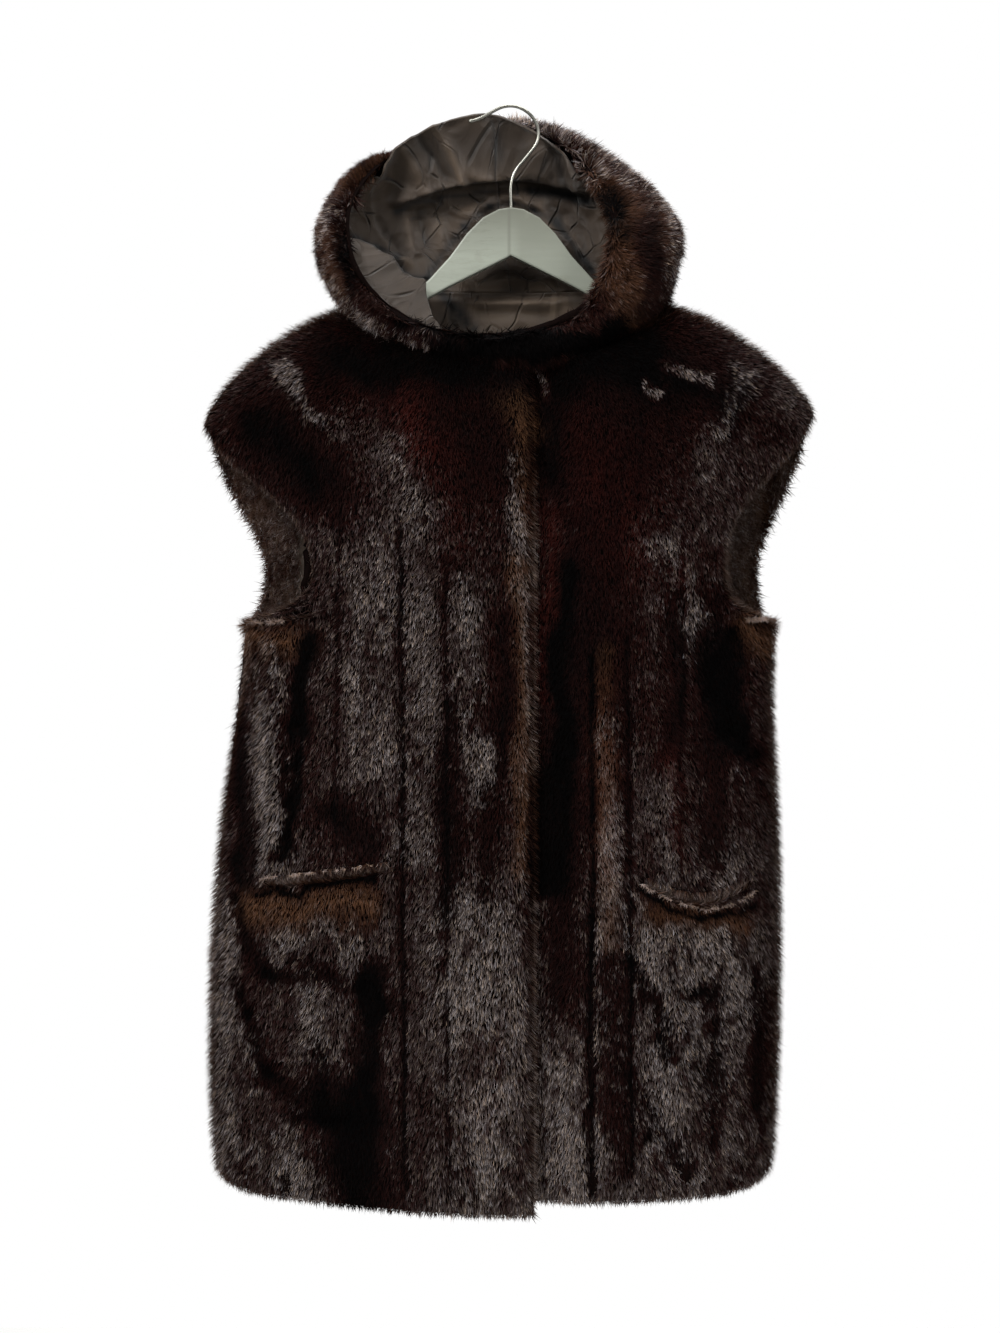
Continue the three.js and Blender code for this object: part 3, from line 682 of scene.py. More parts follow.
forms = {}
for node, kind in PANELS.items():
    ground = smooth_copy(node, "ground_" + node, 2)
    form = measure_form(ground, node)
    if kind == "hood":
        form["points"] = peaked(opened(form["points"]))
    room = form["sink"] / PILE_SINK
    form["dip"] = fold_dip(form["points"], kind) * room**2
    if kind == "body":
        form["dip"] -= ARM_ROLL * armhole_edge(form["points"], form["out"])
    drawn_in = (form["sink"] + form["dip"])[:, None]
    write_points(ground, form["points"] - form["out"] * drawn_in)
    forms[node] = {"piece": ground, "kind": kind, **form}
    belongs(ground, node)
    share = len(form["triangles"]) / len(ground.data.loop_triangles)
    print(node, len(ground.data.loop_triangles), "triangles,", round(share, 2), "bear fur")

# %% [markdown]
# ## Where the coat shines
#
# The same dark brown looks silver where the strands catch the light, black in the folds and
# reddish or tan where the underfur shows. Noise alone would scatter these evenly, so short tables
# place them on the fronts and round the hood, as the folds are. A row below 0 takes its
# tone away. The hidden back gets the same kinds of streaks from noise stretched along the pelts.
# The silver is a painted sheen, and much of the black is painted shade in the folds.

# %% Painted silver sheen of the fronts
COLUMNS = "x0 z0 x1 z1 width amount"
# Where the fronts are painted silver, a painted sheen where strands would catch the light. A row
# below 0 takes it away.
SILVER_SHEEN = table(
    COLUMNS,
    (-132, -425, -126, -610, 34, 0.42),
    (-115, -330, -78, -405, 15, 0.4),
    (-153, -490, -153, -560, 9, 0.4),
    (-44, -455, -38, -560, 10, 0.65),
    (-40, -545, -24, -648, 12, 0.75),
    (-84, -470, -80, -700, 20, 0.32),
    (-33, -440, -18, -450, 5, 0.6),
    (-112, -620, -96, -700, 18, 0.2),
    (-226, -505, -222, -720, 14, 0.7),
    (-32, -768, -30, -830, 30, 0.95),
    (-26, -840, -20, -1050, 30, 0.66),
    (-215, -773, -160, -780, 16, 0.5),
    (-190, -820, -165, -890, 17, 0.5),
    (-272, -740, -268, -1000, 14, 0.35),
    (-225, -950, -195, -1015, 24, 0.45),
    (-243, -870, -240, -925, 10, 0.5),
    (-248, -985, -190, -1015, 14, 0.5),
    (86, -585, 88, -740, 8, 0.3),
    (110, -740, 120, -790, 9, 0.6),
    (218, -570, 218, -640, 10, 0.4),
    (28, -250, 32, -262, 4, 1.0),
    (128, -262, 141, -266, 5, 1.3),
    (-212, -252, -182, -298, 8, 1.1),
    (-180, -298, -158, -310, 9, 0.5),
    (12, -430, 17, -740, 5, 0.45),
    (2, -330, 12, -420, 8, 0.6),
    (50, -905, 52, -1025, 24, 0.65),
    (150, -415, 172, -515, 19, 0.6),
    (188, -345, 186, -400, 16, 0.45),
    (94, -560, 100, -720, 9, 0.4),
    (138, -640, 148, -715, 17, 0.26),
    (196, -700, 206, -740, 14, 0.3),
    (113, -748, 160, -893, 12, 0.5),
    (150, -800, 165, -1015, 50, 0.42),
    (192, -785, 216, -830, 24, 0.45),
    (218, -252, 197, -306, 9, 1.5),
    (148, -246, 180, -258, 8, 1.7),
    (255, -240, 280, -300, 12, 0.3),
    (-248, -752, -136, -746, 15, -0.5),
    (132, -756, 214, -764, 12, -0.5),
    (-252, -496, -208, -502, 14, -0.5),
    (222, -498, 256, -502, 13, -0.5),
)

# %% Dark fur and painted shade of the fronts
# Dark fur, and painted shade in the folds, the pocket slits and beside the overlapped front edge.
# Rows below 0 clear it under the painted highlights at the shoulders and collar.
DARK_AND_SHADE = table(
    COLUMNS,
    (-95, -214, 110, -224, 28, 1.0),
    (-50, -258, 150, -258, 38, 0.6),
    (-150, -246, -50, -246, 22, 0.35),
    (-20, -330, 100, -330, 46, 0.35),
    (70, -400, 82, -560, 28, 0.4),
    (34, -290, 36, -340, 14, 0.4),
    (48, -440, 46, -600, 12, 0.95),
    (46, -600, 43, -725, 15, 0.9),
    (30, -620, 28, -730, 9, 0.5),
    (-11, -480, -8, -625, 7, 0.5),
    (-58, -560, -56, -760, 8, 0.45),
    (151, -455, 153, -600, 9, 0.5),
    (188, -470, 190, -700, 10, 0.4),
    (-177, -880, -177, -930, 9, 0.5),
    (-129, -810, -132, -935, 11, 0.8),
    (45, -740, 46, -850, 13, 0.4),
    (-237, -292, -185, -352, 25, 0.8),
    (-165, -232, -120, -250, 22, 0.6),
    (100, -240, 200, -272, 22, 0.6),
    (-189, -500, -200, -590, 7, 1.1),
    (-200, -590, -212, -700, 5, 1.0),
    (-164, -664, -132, -690, 14, 0.55),
    (-236, -737, -121, -722, 3, 1.2),
    (121, -739, 152, -754, 3, 1.2),
    (152, -754, 181, -763, 3, 1.2),
    (181, -763, 230, -746, 3, 1.2),
    (-256, -575, -250, -730, 8, 0.6),
    (-262, -743, -229, -816, 8, 0.5),
    (-229, -816, -165, -814, 8, 0.5),
    (-260, -819, -224, -905, 8, 0.4),
    (-224, -905, -150, -954, 9, 0.5),
    (-136, -823, -118, -850, 11, 0.8),
    (-145, -935, -140, -1035, 25, 0.95),
    (-24, -640, -21, -735, 10, 0.35),
    (98, -800, 104, -990, 14, 0.2),
    (113, -799, 148, -890, 7, 0.5),
    (120, -915, 161, -1005, 8, 0.4),
    (192, -864, 192, -977, 8, 0.35),
    (171, -836, 185, -840, 11, 0.5),
    (235, -819, 235, -941, 10, 0.4),
    (180, -505, 205, -600, 14, 0.45),
    (208, -502, 208, -589, 10, 0.7),
    (208, -589, 233, -618, 10, 0.6),
    (148, -246, 180, -258, 9, -1.6),
    (128, -262, 141, -266, 6, -1.4),
    (28, -250, 32, -262, 5, -1.2),
)

# %% Warm and tan places, and the seams between the pelts
WARM = table(
    COLUMNS,
    (-108, -245, -84, -318, 24, 0.55),
    (-66, -330, -50, -420, 14, 0.2),
    (58, -300, 110, -420, 32, 0.35),
    (30, -380, 34, -560, 9, 0.5),
    (84, -540, 90, -720, 12, 0.55),
    (160, -430, 150, -470, 12, 0.4),
    (150, -600, 156, -700, 9, 0.4),
    (-60, -250, -40, -280, 10, 0.4),
    (-20, -880, -30, -940, 20, 0.2),
)
TAN = table(
    COLUMNS,
    (-248, -752, -138, -746, 15, 0.8),
    (134, -758, 212, -766, 13, 0.5),
    (2, -284, 14, -306, 13, 1.6),
    (10, -312, 14, -400, 7, 0.45),
    (8, -430, 13, -720, 8, 0.55),
    (86, -520, 88, -780, 9, 0.45),
    (-252, -500, -206, -504, 15, 0.7),
    (222, -500, 256, -504, 14, 0.7),
)
PELT_SEAMS = table(
    COLUMNS,
    (-102, -400, -98, -1010, 2.2, 1.0),
    (-60, -430, -58, -1020, 2.0, 0.6),
    (75, -520, 75, -1020, 3.0, 1.0),
    (109, -500, 113, -1000, 2.2, 0.7),
    (-160, -380, -164, -700, 2.0, 0.5),
    (160, -400, 158, -720, 2.0, 0.5),
)

# %% Places of the hood
# The hood's painted silver sheen.
HOOD_SILVER_SHEEN = table(
    COLUMNS,
    (138, -80, 156, -168, 15, 0.5),
    (100, -50, 135, -80, 13, 0.4),
    (60, -24, 100, -44, 10, 0.3),
    (56, -40, 96, -72, 6, 0.8),
    (118, -60, 146, -90, 10, 0.6),
    (-160, -95, -165, -150, 12, 0.45),
    (-160, -180, -135, -215, 14, 0.5),
    (-130, -208, -70, -222, 9, 0.5),
    (-20, -206, 20, -208, 6, 0.5),
)
# The hood's dark fur and painted shade.
HOOD_DARK_AND_SHADE = table(
    COLUMNS,
    (-10, -8, 40, -14, 9, 0.8),
    (40, -26, 66, -44, 9, 0.6),
    (84, -80, 100, -130, 7, 0.6),
    (-150, -60, -110, -30, 8, 0.5),
    (-60, -232, 90, -232, 14, 1.0),
    (90, -214, 130, -226, 14, 0.9),
    (-100, -204, -40, -214, 5, 0.7),
    (-20, -220, 60, -220, 8, 0.8),
    (124, -120, 126, -165, 6, 0.5),
    (-148, -120, -146, -170, 7, 0.6),
)
HOOD_TAN = table(
    COLUMNS,
    (92, -108, 102, -200, 12, 0.5),
    (60, -45, 100, -92, 12, 0.4),
    (130, -95, 140, -140, 10, 0.25),
    (-168, -105, -160, -170, 9, 0.35),
    (-150, -75, -120, -50, 9, 0.45),
)
FRONT_TONES = (SILVER_SHEEN, DARK_AND_SHADE, WARM, TAN)
HOOD_TONES = (HOOD_SILVER_SHEEN, HOOD_DARK_AND_SHADE, [], HOOD_TAN)
print(sum(len(rows) for rows in FRONT_TONES + HOOD_TONES), "streaks of silver, dark, warm and tan")

# %% Tones
SLOPE_STEP = 2.5 * MM
SLOPE_SHARE = 0.7
TONE_WANDER, EVEN_WANDER, SEAM_WANDER = 11 * MM, 7 * MM, 1.2 * MM
PATCH = (20 * MM, 40 * MM, 44 * MM)
LANE = (7 * MM, 14 * MM, 60 * MM)
TUFT = (4 * MM, 6 * MM, 6 * MM)
BROAD_LANE = (34 * MM, 60 * MM, 170 * MM)
DARK_LANE = (22 * MM, 50 * MM, 140 * MM)
WARM_LANE = (40 * MM, 40 * MM, 120 * MM)
GRAIN_STEP = (0.34, 0.66)
HEM_SHEEN = (-620 * MM, -780 * MM)
HOOD_BACK = (-8 * MM, 22 * MM)
DEEP_FOLD = 4 * MM
# All over the hood: a little painted sheen, and painted shade, as the hood faces the light more.
HOOD_BASE = (0.02, 0.24, 0, 0.02)  # silver, dark, warm and tan all over the hood


def facing_up(points):
    """How far each point of a fold turns up and to the left, towards the light: + or -."""
    sideways, upward = np.array((SLOPE_STEP, 0, 0)), np.array((0, 0, SLOPE_STEP))
    across = fold_dip(points - sideways, "body") - fold_dip(points + sideways, "body")
    along = fold_dip(points + upward, "body") - fold_dip(points - upward, "body")
    return (SLOPE_SHARE * across + SLOPE_SHARE * along) / (2 * SLOPE_STEP)


def back_tones(points, bent, grain, kind):
    """Painted silver sheen, dark, warm and tan of the hidden back, from noise, with painted shade
    in its folds.
    """
    folded = np.clip(fold_dip(points, "body") / DEEP_FOLD, 0, 1) if kind == "body" else 0
    silver = (0.12 + 0.55 * rise(0.42, 0.8, cloud(points, BROAD_LANE, 5))) * (0.25 + 1.35 * grain)
    # dark lanes, and painted shade in the folds
    dark = 0.6 * rise(0.6, 0.95, cloud(bent, DARK_LANE, 6)) + 0.35 * folded
    warm = rise(0.5, 0.9, cloud(points, WARM_LANE, 7)) * 0.5
    return silver, dark, warm, np.zeros(len(points))


def shades(points, kind):
    """The share of silver (painted sheen), dark (dark fur and painted shade), warm and tan at each
    point.
    """
    bent = wander(points, TONE_WANDER)
    patches, lanes, tufts = cloud(bent, PATCH, 3), cloud(bent, LANE, 4), cloud(bent, TUFT, 8)
    grain = rise(*GRAIN_STEP, 0.36 * patches + 0.26 * lanes + 0.38 * tufts)
    tones = FRONT_TONES if kind == "body" else HOOD_TONES
    uneven = wander(points, EVEN_WANDER)
    silver, dark, warm, tan = (streaks(uneven, rows) for rows in tones)
    if kind == "body":
        dark += 0.7 * streaks(wander(points, SEAM_WANDER), PELT_SEAMS)
        # more painted sheen towards the hem
        silver += 0.12 * rise(*HEM_SHEEN, points[:, 2]) + 0.04
        # painted highlight on fold flanks that face the key light, painted shade on those turned
        # away
        lit = facing_up(points)
        silver += 0.6 * np.clip(lit, 0, 1)
        dark += 0.8 * np.clip(-lit, 0, 1)
    else:
        silver, dark, warm, tan = (
            tone + base for tone, base in zip((silver, dark, warm, tan), HOOD_BASE)
        )
    dark = dark * (0.8 + 0.4 * lanes) + 0.25 * rise(0.55, 0.8, lanes) * (1 - grain)
    warm = warm * (0.5 + patches)
    silver = silver * (0.1 + 1.45 * grain)
    behind = rise(*HOOD_BACK, points[:, 1]) if kind == "hood" else points[:, 1] > 0
    hidden = back_tones(points, bent, grain, kind)
    shown = (silver, dark, warm, tan)
    mixed = [near * (1 - behind) + far * behind for near, far in zip(shown, hidden)]
    return np.clip(np.stack(mixed, axis=1), 0, 1)

# %% [markdown]
# ## Guard hairs
#
# Guard hairs could be a hair system, but a part to be reused needs them as plain meshes, and a
# single hair is far too thin for one. So each strand here stands for a small lock: a narrow blade
# of one triangle that leaves the ground and lies over along the nap. On the body the nap runs down,
# over the shoulders it runs out, and on the hood it runs away from the face. All blades of a panel
# are made in one array and joined as one mesh.

# %% Nap
def body_nap(points, normals):
    way = np.tile((0.0, 0.0, -1.0), (len(points), 1))
    over = np.clip(normals[:, 2], 0, 1)
    side = np.sign(points[:, 0] + 12 * MM)
    way[:, 0] += 1.6 * over * side
    way[:, 0] += 0.5 * (cloud(points, (50 * MM, 60 * MM, 90 * MM), 11) - 0.5)
    return way


def hood_nap(points, normals):
    way = points - HOOD_CENTRE
    way[:, 1] = 0
    back = rise(10 * MM, 45 * MM, points[:, 1])[:, None]
    way = unit(way) * (1 - back) + np.array((0.0, 0.0, -1.0)) * back
    way[:, 2] -= 0.35
    way[:, 1] += 0.35
    way += 0.6 * (cloud(points, (30 * MM, 30 * MM, 30 * MM), 12)[:, None] - 0.5)
    return way


NAPS = {"body": body_nap, "hood": hood_nap}

# %% Sizes of the blades
HAIR_LONG = {"body": 7 * MM, "hood": 14 * MM}
HAIR_WIDE = {"body": 0.9 * MM, "hood": 1.4 * MM}
STRAY = 0.22  # how far strands stray from the nap
CLUMP = {"body": 0.5, "hood": 1.5}  # and how far small clumps of them turn together
CLUMP_SIZE = (7 * MM, 7 * MM, 9 * MM)
ROLL_LONG = {"body": 0.9, "hood": 0.0}  # how much longer they are on a rolled edge
EDGE_MORE = 7  # how much denser they stand on an armhole's edge


# %% Where the blades stand
def places(form, count, draw):
    """Random places on the faces that bear fur, with the form's own values at each."""
    triangles, points = form["triangles"], form["points"]
    a, b, c = (points[triangles[:, i]] for i in range(3))
    cross = np.cross(b - a, c - a)
    areas = np.linalg.norm(cross, axis=1)
    if form["kind"] == "body":
        areas *= 1 + EDGE_MORE * armhole_edge((a + b + c) / 3, unit(cross))
    chosen = triangles[draw.choice(len(triangles), count, p=areas / areas.sum())]
    first, second = np.sqrt(draw.random(count)), draw.random(count)
    shares = np.stack([1 - first, first * (1 - second), first * second], axis=1)

    def at(values):
        return (values[chosen] * shares.reshape(count, 3, *[1] * (values.ndim - 1))).sum(1)

    return at(points), unit(at(form["out"])), at(form["sink"])[:, None], at(form["dip"])[:, None]

# %% Which way they lie
INSIDE_RIGHT = (30 * MM, 70 * MM)  # where the hood's fur turns in over the opening's edge:
INSIDE_FOOT = (-196 * MM, -206 * MM)  # on the right and along the foot


def over_armhole_edge(place):
    ways = np.tile((0.4, -0.6, -0.4), (len(place), 1))
    ways[:, 0] *= np.sign(place[:, 0])
    return ways


def backwards(place):
    return np.tile((0.0, 1.0, 0.0), (len(place), 1))


ROLL_WAY = {"body": over_armhole_edge, "hood": backwards}


def blade_ways(place, normal, kind, roll_in, draw):
    """The way each blade lies along its face, shorter where the nap points into the face."""
    size = (len(place), 3)
    way = NAPS[kind](place, normal) + draw.normal(0, STRAY, size)
    clumps = [cloud(place, CLUMP_SIZE, seed) - 0.5 for seed in (61, 62, 63)]
    way += CLUMP[kind] * np.stack(clumps, axis=1)
    stray = STRAY * roll_in * draw.normal(0, 1.5, size)
    way = way * (1 - roll_in) + ROLL_WAY[kind](place) * roll_in + stray
    if kind == "hood":
        inner = rise(0.1, 0.6, -(normal * radial(place)).sum(1))
        right, foot = rise(*INSIDE_RIGHT, place[:, 0]), rise(*INSIDE_FOOT, place[:, 2])
        inner *= np.maximum(right, foot)
        way -= 0.9 * radial(place) * inner[:, None]
    return way - normal * (way * normal).sum(1, keepdims=True)

# %% How long and how high they are
RIM_STEEP = (0.3, 0.85)  # how far a face turns sideways where the outline runs
GUARD_SHARE = 0.95  # of the strands aren't guard hairs,
GUARD_UP = 2.2 * MM  # which stand this much higher
UPRIGHT = 5 * MM  # how high a blade stands that can't lie down
ROOT_DEEP = 0.6 * MM


def blade_sizes(place, normal, kind, roll_in, sink, reach, rim, draw):
    """How far each blade reaches along its face, and how far above its root it ends."""
    size = (len(place), 1)
    long = HAIR_LONG[kind] * draw.uniform(0.6, 1.25, size) * (1 + ROLL_LONG[kind] * roll_in)
    long *= 1 + 0.35 * rim[:, None]
    height = (sink + 0.4 * MM) * (1 + 0.7 * rim[:, None]) * draw.uniform(0.7, 1.2, size)
    height += GUARD_UP * (draw.random(size) > GUARD_SHARE)
    height = np.maximum(height, np.clip(1 - reach, 0, 1) * UPRIGHT)
    if kind == "hood":
        inward = np.clip(-(normal * radial(place)).sum(1, keepdims=True), 0, 1)
        height *= (1.35 - 1.1 * inward) * (1 - 0.9 * roll_in)
        long *= 1 - 0.5 * roll_in
    return long, height

# %% Their tones
# Painted rim light: the fur is painted paler along its outline, where light would catch its edge.
RIM_LIGHT = {"body": 1.0, "hood": 0.25}  # how much paler the fur is along its outline
NECK_SIDE, NECK_FOOT = (130 * MM, 90 * MM), (-320 * MM, -280 * MM)  # but not at the neck
ROLL_SHEEN, ROLL_TAN = (5 * MM, 5 * MM, 9 * MM), (9 * MM, 9 * MM, 20 * MM)


def blade_tones(place, kind, roll_in, rim):
    """The tones of the place, with painted rim light along the outline, and painted sheen and tan
    on a rolled edge.
    """
    tone = shades(place, kind)
    rolled = roll_in[:, 0] if kind == "body" else 0
    neck = rise(*NECK_SIDE, np.abs(place[:, 0])) * rise(*NECK_FOOT, place[:, 2])
    rim_light = RIM_LIGHT[kind] * rim * (1 - 0.5 * tone[:, 1]) * (1 - neck * (kind == "body"))
    tone[:, 1] *= 1 - 0.6 * rim * RIM_LIGHT[kind]
    tone[:, 0] += 0.22 * rim_light + 0.3 * rolled * cloud(place, ROLL_SHEEN, 14)
    tone[:, 3] += 0.4 * rim_light + 0.8 * rolled * cloud(place, ROLL_TAN, 15)
    return np.repeat(np.clip(tone, 0, 1), 3, axis=0)

# %% Blades
# The size of the small clumps that get a painted glint together, where they would catch the light,
# and how strong it is.
GLINT = {"body": (1.8 * MM, 2.0 * MM, 2.0 * MM), "hood": (2.4 * MM, 2.4 * MM, 4 * MM)}
GLINT_SHARE = {"body": 1.0, "hood": 2.0}


def strands(name, form, count, seed):
    """One mesh of joined blades that grow from the fur-bearing faces of a form."""
    draw = np.random.default_rng(seed)
    kind = form["kind"]
    place, normal, sink, dip = places(form, count, draw)
    edging = armhole_edge if kind == "body" else rolled_rim
    roll_in = edging(place, normal)[:, None]
    way = blade_ways(place, normal, kind, roll_in, draw)
    reach = np.linalg.norm(way, axis=1, keepdims=True)
    way = way / np.maximum(reach, 0.25)
    rim = rise(*RIM_STEEP, 1 - np.abs(normal[:, 1]))
    long, height = blade_sizes(place, normal, kind, roll_in, sink, reach, rim, draw)
    root = place - normal * (sink + dip + ROOT_DEEP)
    tip = root + way * long * 0.95 + normal * height
    across = unit(np.cross(tip - root, normal))
    roll = draw.normal(0, 0.6, (count, 1))
    across = unit(across * np.cos(roll) + normal * np.sin(roll))
    half = across * HAIR_WIDE[kind] * draw.uniform(0.35, 0.65, (count, 1))
    low = root + (tip - root) * 0.25
    corners = np.stack([low - half, low + half, tip], axis=1).reshape(-1, 3)
    # painted glints on small clumps of tips
    glint = rise(0.52, 0.8, cloud(tip, GLINT[kind], seed)) * (0.3 + 0.7 * draw.random(count))
    glint *= GLINT_SHARE[kind]
    strand = np.stack([draw.random(count), np.zeros(count), glint, np.ones(count)], axis=1)
    strand = np.repeat(strand, 3, axis=0)
    strand[2::3, 1] = 1
    return blade_mesh(name, corners, strand, blade_tones(place, kind, roll_in, rim))


def blade_mesh(name, corners, strand, tone):
    """An object whose every three corners are one blade, with its two colour attributes."""
    count = len(corners) // 3
    mesh = bpy.data.meshes.new(name)
    mesh.vertices.add(count * 3)
    mesh.vertices.foreach_set("co", corners.astype(np.float32).ravel())
    mesh.loops.add(count * 3)
    mesh.loops.foreach_set("vertex_index", np.arange(count * 3, dtype=np.int32))
    mesh.polygons.add(count)
    mesh.polygons.foreach_set("loop_start", np.arange(0, count * 3, 3, dtype=np.int32))
    mesh.update(calc_edges=True)
    for label, values in (("strand", strand), ("tone", tone)):
        layer = mesh.attributes.new(label, "FLOAT_COLOR", "POINT")
        layer.data.foreach_set("color", values.astype(np.float32).ravel())
    piece = bpy.data.objects.new(name, mesh)
    bpy.context.scene.collection.objects.link(piece)
    return piece


STRANDS = {
    "front_right": 178000,
    "front_left": 178000,
    "back": 156000,
    "hood_left": 84000,
    "hood_right": 84000,
}
furs = {}
for seed, (node, count) in enumerate(STRANDS.items(), start=21):
    fur = strands("fur_" + node, forms[node], count, seed)
    belongs(fur)
    furs[node] = fur
    print("fur_" + node, count, "triangles")

# %% [markdown]
# ## Frayed edges
#
# Short pale hairs and the pelt's light edge show along each pocket slit and under each armhole. A
# drawn line would look like piping, so they are blades like the fur's, set along a line that is
# dropped on the fur's ground.

# %% Lips
LIPS = {
    "pocket_lip_right": ("front_right", ((-235, -729), (-178, -721), (-121, -714))),
    "pocket_lip_left": (
        "front_left",
        ((121, -732), (150, -748), (181, -757), (208, -752), (231, -740)),
    ),
    "underarm_lip_right": ("front_right", ((-249, -489), (-213, -488))),
    "underarm_lip_left": ("front_left", ((220, -487), (248, -486))),
}
LIP_BLADES = 520
LIP_LONG = 4.5 * MM
LIP_WIDE = 0.4 * MM
LIP_WAY = (0.0, -0.3, -0.4)
LIP_STRAY = 0.35 * MM
LIP_WAVE = 1.1 * MM  # how far a lip wavers up and down
LIP_BARE = 0.36  # the share of the noise below which a lip is worn away
LIP_OUT = np.array((0, -2.5, 0)) * MM
LIP_START = -0.4  # where the lines start from, in front of the vest
# Each lip blade gets a painted glint and a little painted silver sheen over its tan.
LIP_STRAND = (0.0, 1.0, 0.5, 1.0)
LIP_TONE = (0.22, 0.0, 0.0, 0.9)


def lip(name, node, line, seed):
    """Pale blades along a line of points in X and Z, standing on a panel's ground."""
    draw = np.random.default_rng(seed)
    line = np.array(line) * MM
    steps = np.linspace(0, len(line) - 1, LIP_BLADES)
    flat = np.stack([np.interp(steps, range(len(line)), line[:, i]) for i in range(2)], axis=1)
    flat += draw.normal(0, LIP_STRAY, flat.shape)
    spaced = np.stack([flat[:, 0], np.zeros(LIP_BLADES), flat[:, 1]], axis=1)
    flat[:, 1] += LIP_WAVE * (2 * cloud(spaced, (9 * MM,) * 3, seed) - 1)
    flat = flat[cloud(spaced, (5 * MM,) * 3, seed + 9) > LIP_BARE]
    wall = wall_of(forms[node]["piece"])
    hits = [wall.ray_cast(Vector((x, LIP_START, z)), Vector((0, 1, 0))) for x, z in flat]
    root = np.array([hit[0] for hit in hits if hit[0]]) + LIP_OUT
    count = len(root)
    way = unit(np.array(LIP_WAY) + draw.normal(0, 0.6, (count, 3)))
    tip = root + way * LIP_LONG * draw.uniform(0.5, 1.2, (count, 1))
    half = unit(np.cross(tip - root, (0, 1, 0))) * LIP_WIDE
    corners = np.stack([root - half, root + half, tip], axis=1).reshape(-1, 3)
    strand = np.tile(LIP_STRAND, (count * 3, 1))
    strand[:, 0] = np.repeat(draw.random(count), 3)
    return blade_mesh(name, corners, strand, np.tile(LIP_TONE, (count * 3, 1)))


lips = {}
for seed, (name, (node, line)) in enumerate(LIPS.items(), start=41):
    lips[name] = lip(name, node, line, seed)
    belongs(lips[name])
    print(name, len(triangles_of(lips[name])), "triangles")

# %% [markdown]
# ## Mink
#
# Each blade is dark at its root. Its tip is black-brown, with reddish or tan strands where the
# tables say so, and a share of strands is painted silver where they would catch the light: a
# painted sheen. Two colour attributes bring this to one material: "strand" holds a blade's
# chance, its way from root to tip and its painted glint, and "tone" holds silver sheen, dark fur
# with painted shade, warm and tan. The underfur below is plain dark down.

# %% Mink strands
BLACK_BROWN = dye(12, 4, 4)
BROWN = dye(62, 28, 23)
RED_BROWN = dye(82, 31, 24)
TAN_BROWN = dye(124, 86, 60)
# the warm and cool silver of the painted sheen
WARM_SHEEN = dye(226, 196, 168)
COOL_SHEEN = dye(206, 203, 208)
# for the roots, and for the dark fur and painted shade of the dark tone
ROOT_AND_SHADE_DARK = dye(2, 1, 1)

mink = Finish("mink strands")
mink.shader.inputs["Specular IOR Level"].default_value = 0.06
chance, along, glint = mink.parts(mink.attribute("strand"))
tone = mink.attribute("tone")
silver, dark, warm = mink.parts(tone)
tan = Wire(mink, tone.socket.node.outputs["Alpha"])
# a strand's brown is lighter where it has a painted glint
colour = mink.blend(BLACK_BROWN, BROWN, chance * 0.7 + glint * 0.3)
colour = mink.blend(colour, RED_BROWN, (warm * (chance + 0.2)).limited())
colour = mink.blend(colour, TAN_BROWN, (tan * (chance * 0.8 + 0.3)).limited())
# how strongly the painted sheen shows: silver tone and painted glints, less where the tone is dark
shine = silver * (chance * 0.6 + 0.14) + glint * (silver * 1.5 + 0.22) - dark
sheen = mink.blend(WARM_SHEEN, COOL_SHEEN, chance)
colour = mink.blend(colour, sheen, shine.limited() * along)
# roots, dark fur and painted shade go almost black
colour = mink.blend(colour, ROOT_AND_SHADE_DARK, (dark * 0.9 + (1 - along) * 0.45).limited())
mink_strands = mink.set(Base_Color=colour, Roughness=(dark * 0.4 + 0.45).limited())

# %% Underfur
underfur = Finish("mink underfur", Roughness=0.95)
underfur.shader.inputs["Specular IOR Level"].default_value = 0.02
at = underfur.place(scale=(1, 1, 0.25))
down = underfur.noise(at, 2.2 * MM, detail=3)
underfur_finish = underfur.set(
    Base_Color=underfur.blend(dye(5, 3, 3), dye(18, 10, 8), down),
    Normal=underfur.bump(down, 0.6, 1.2 * MM),
)
for node, form in forms.items():
    form["piece"].data.materials.append(underfur_finish)
    furs[node].data.materials.append(mink_strands)
for edging in lips.values():
    edging.data.materials.append(mink_strands)

# %% [markdown]
# ## Lining
#
# The taffeta is thin and crisp, so it crinkles: broad soft pleats where it is caught by the seams,
# and small sharp creases between them. A drape by simulation would lose the pleats' places, so
# both are pressed into a finer copy of each lining solid. In the hood three larger forms show: a
# fold that hangs over the cloth beneath it, a loose flap in front of the hanger's arm, and the
# edge rolled out over the rim at the top.

# %% Lining pieces
TAFFETA = {
    "lining_front_right": ("body", 2),
    "lining_front_left": ("body", 2),
    "lining_back": ("body", 2),
    "hood_lining_left": ("hood", 3),
    "hood_lining_right": ("hood", 3),
}

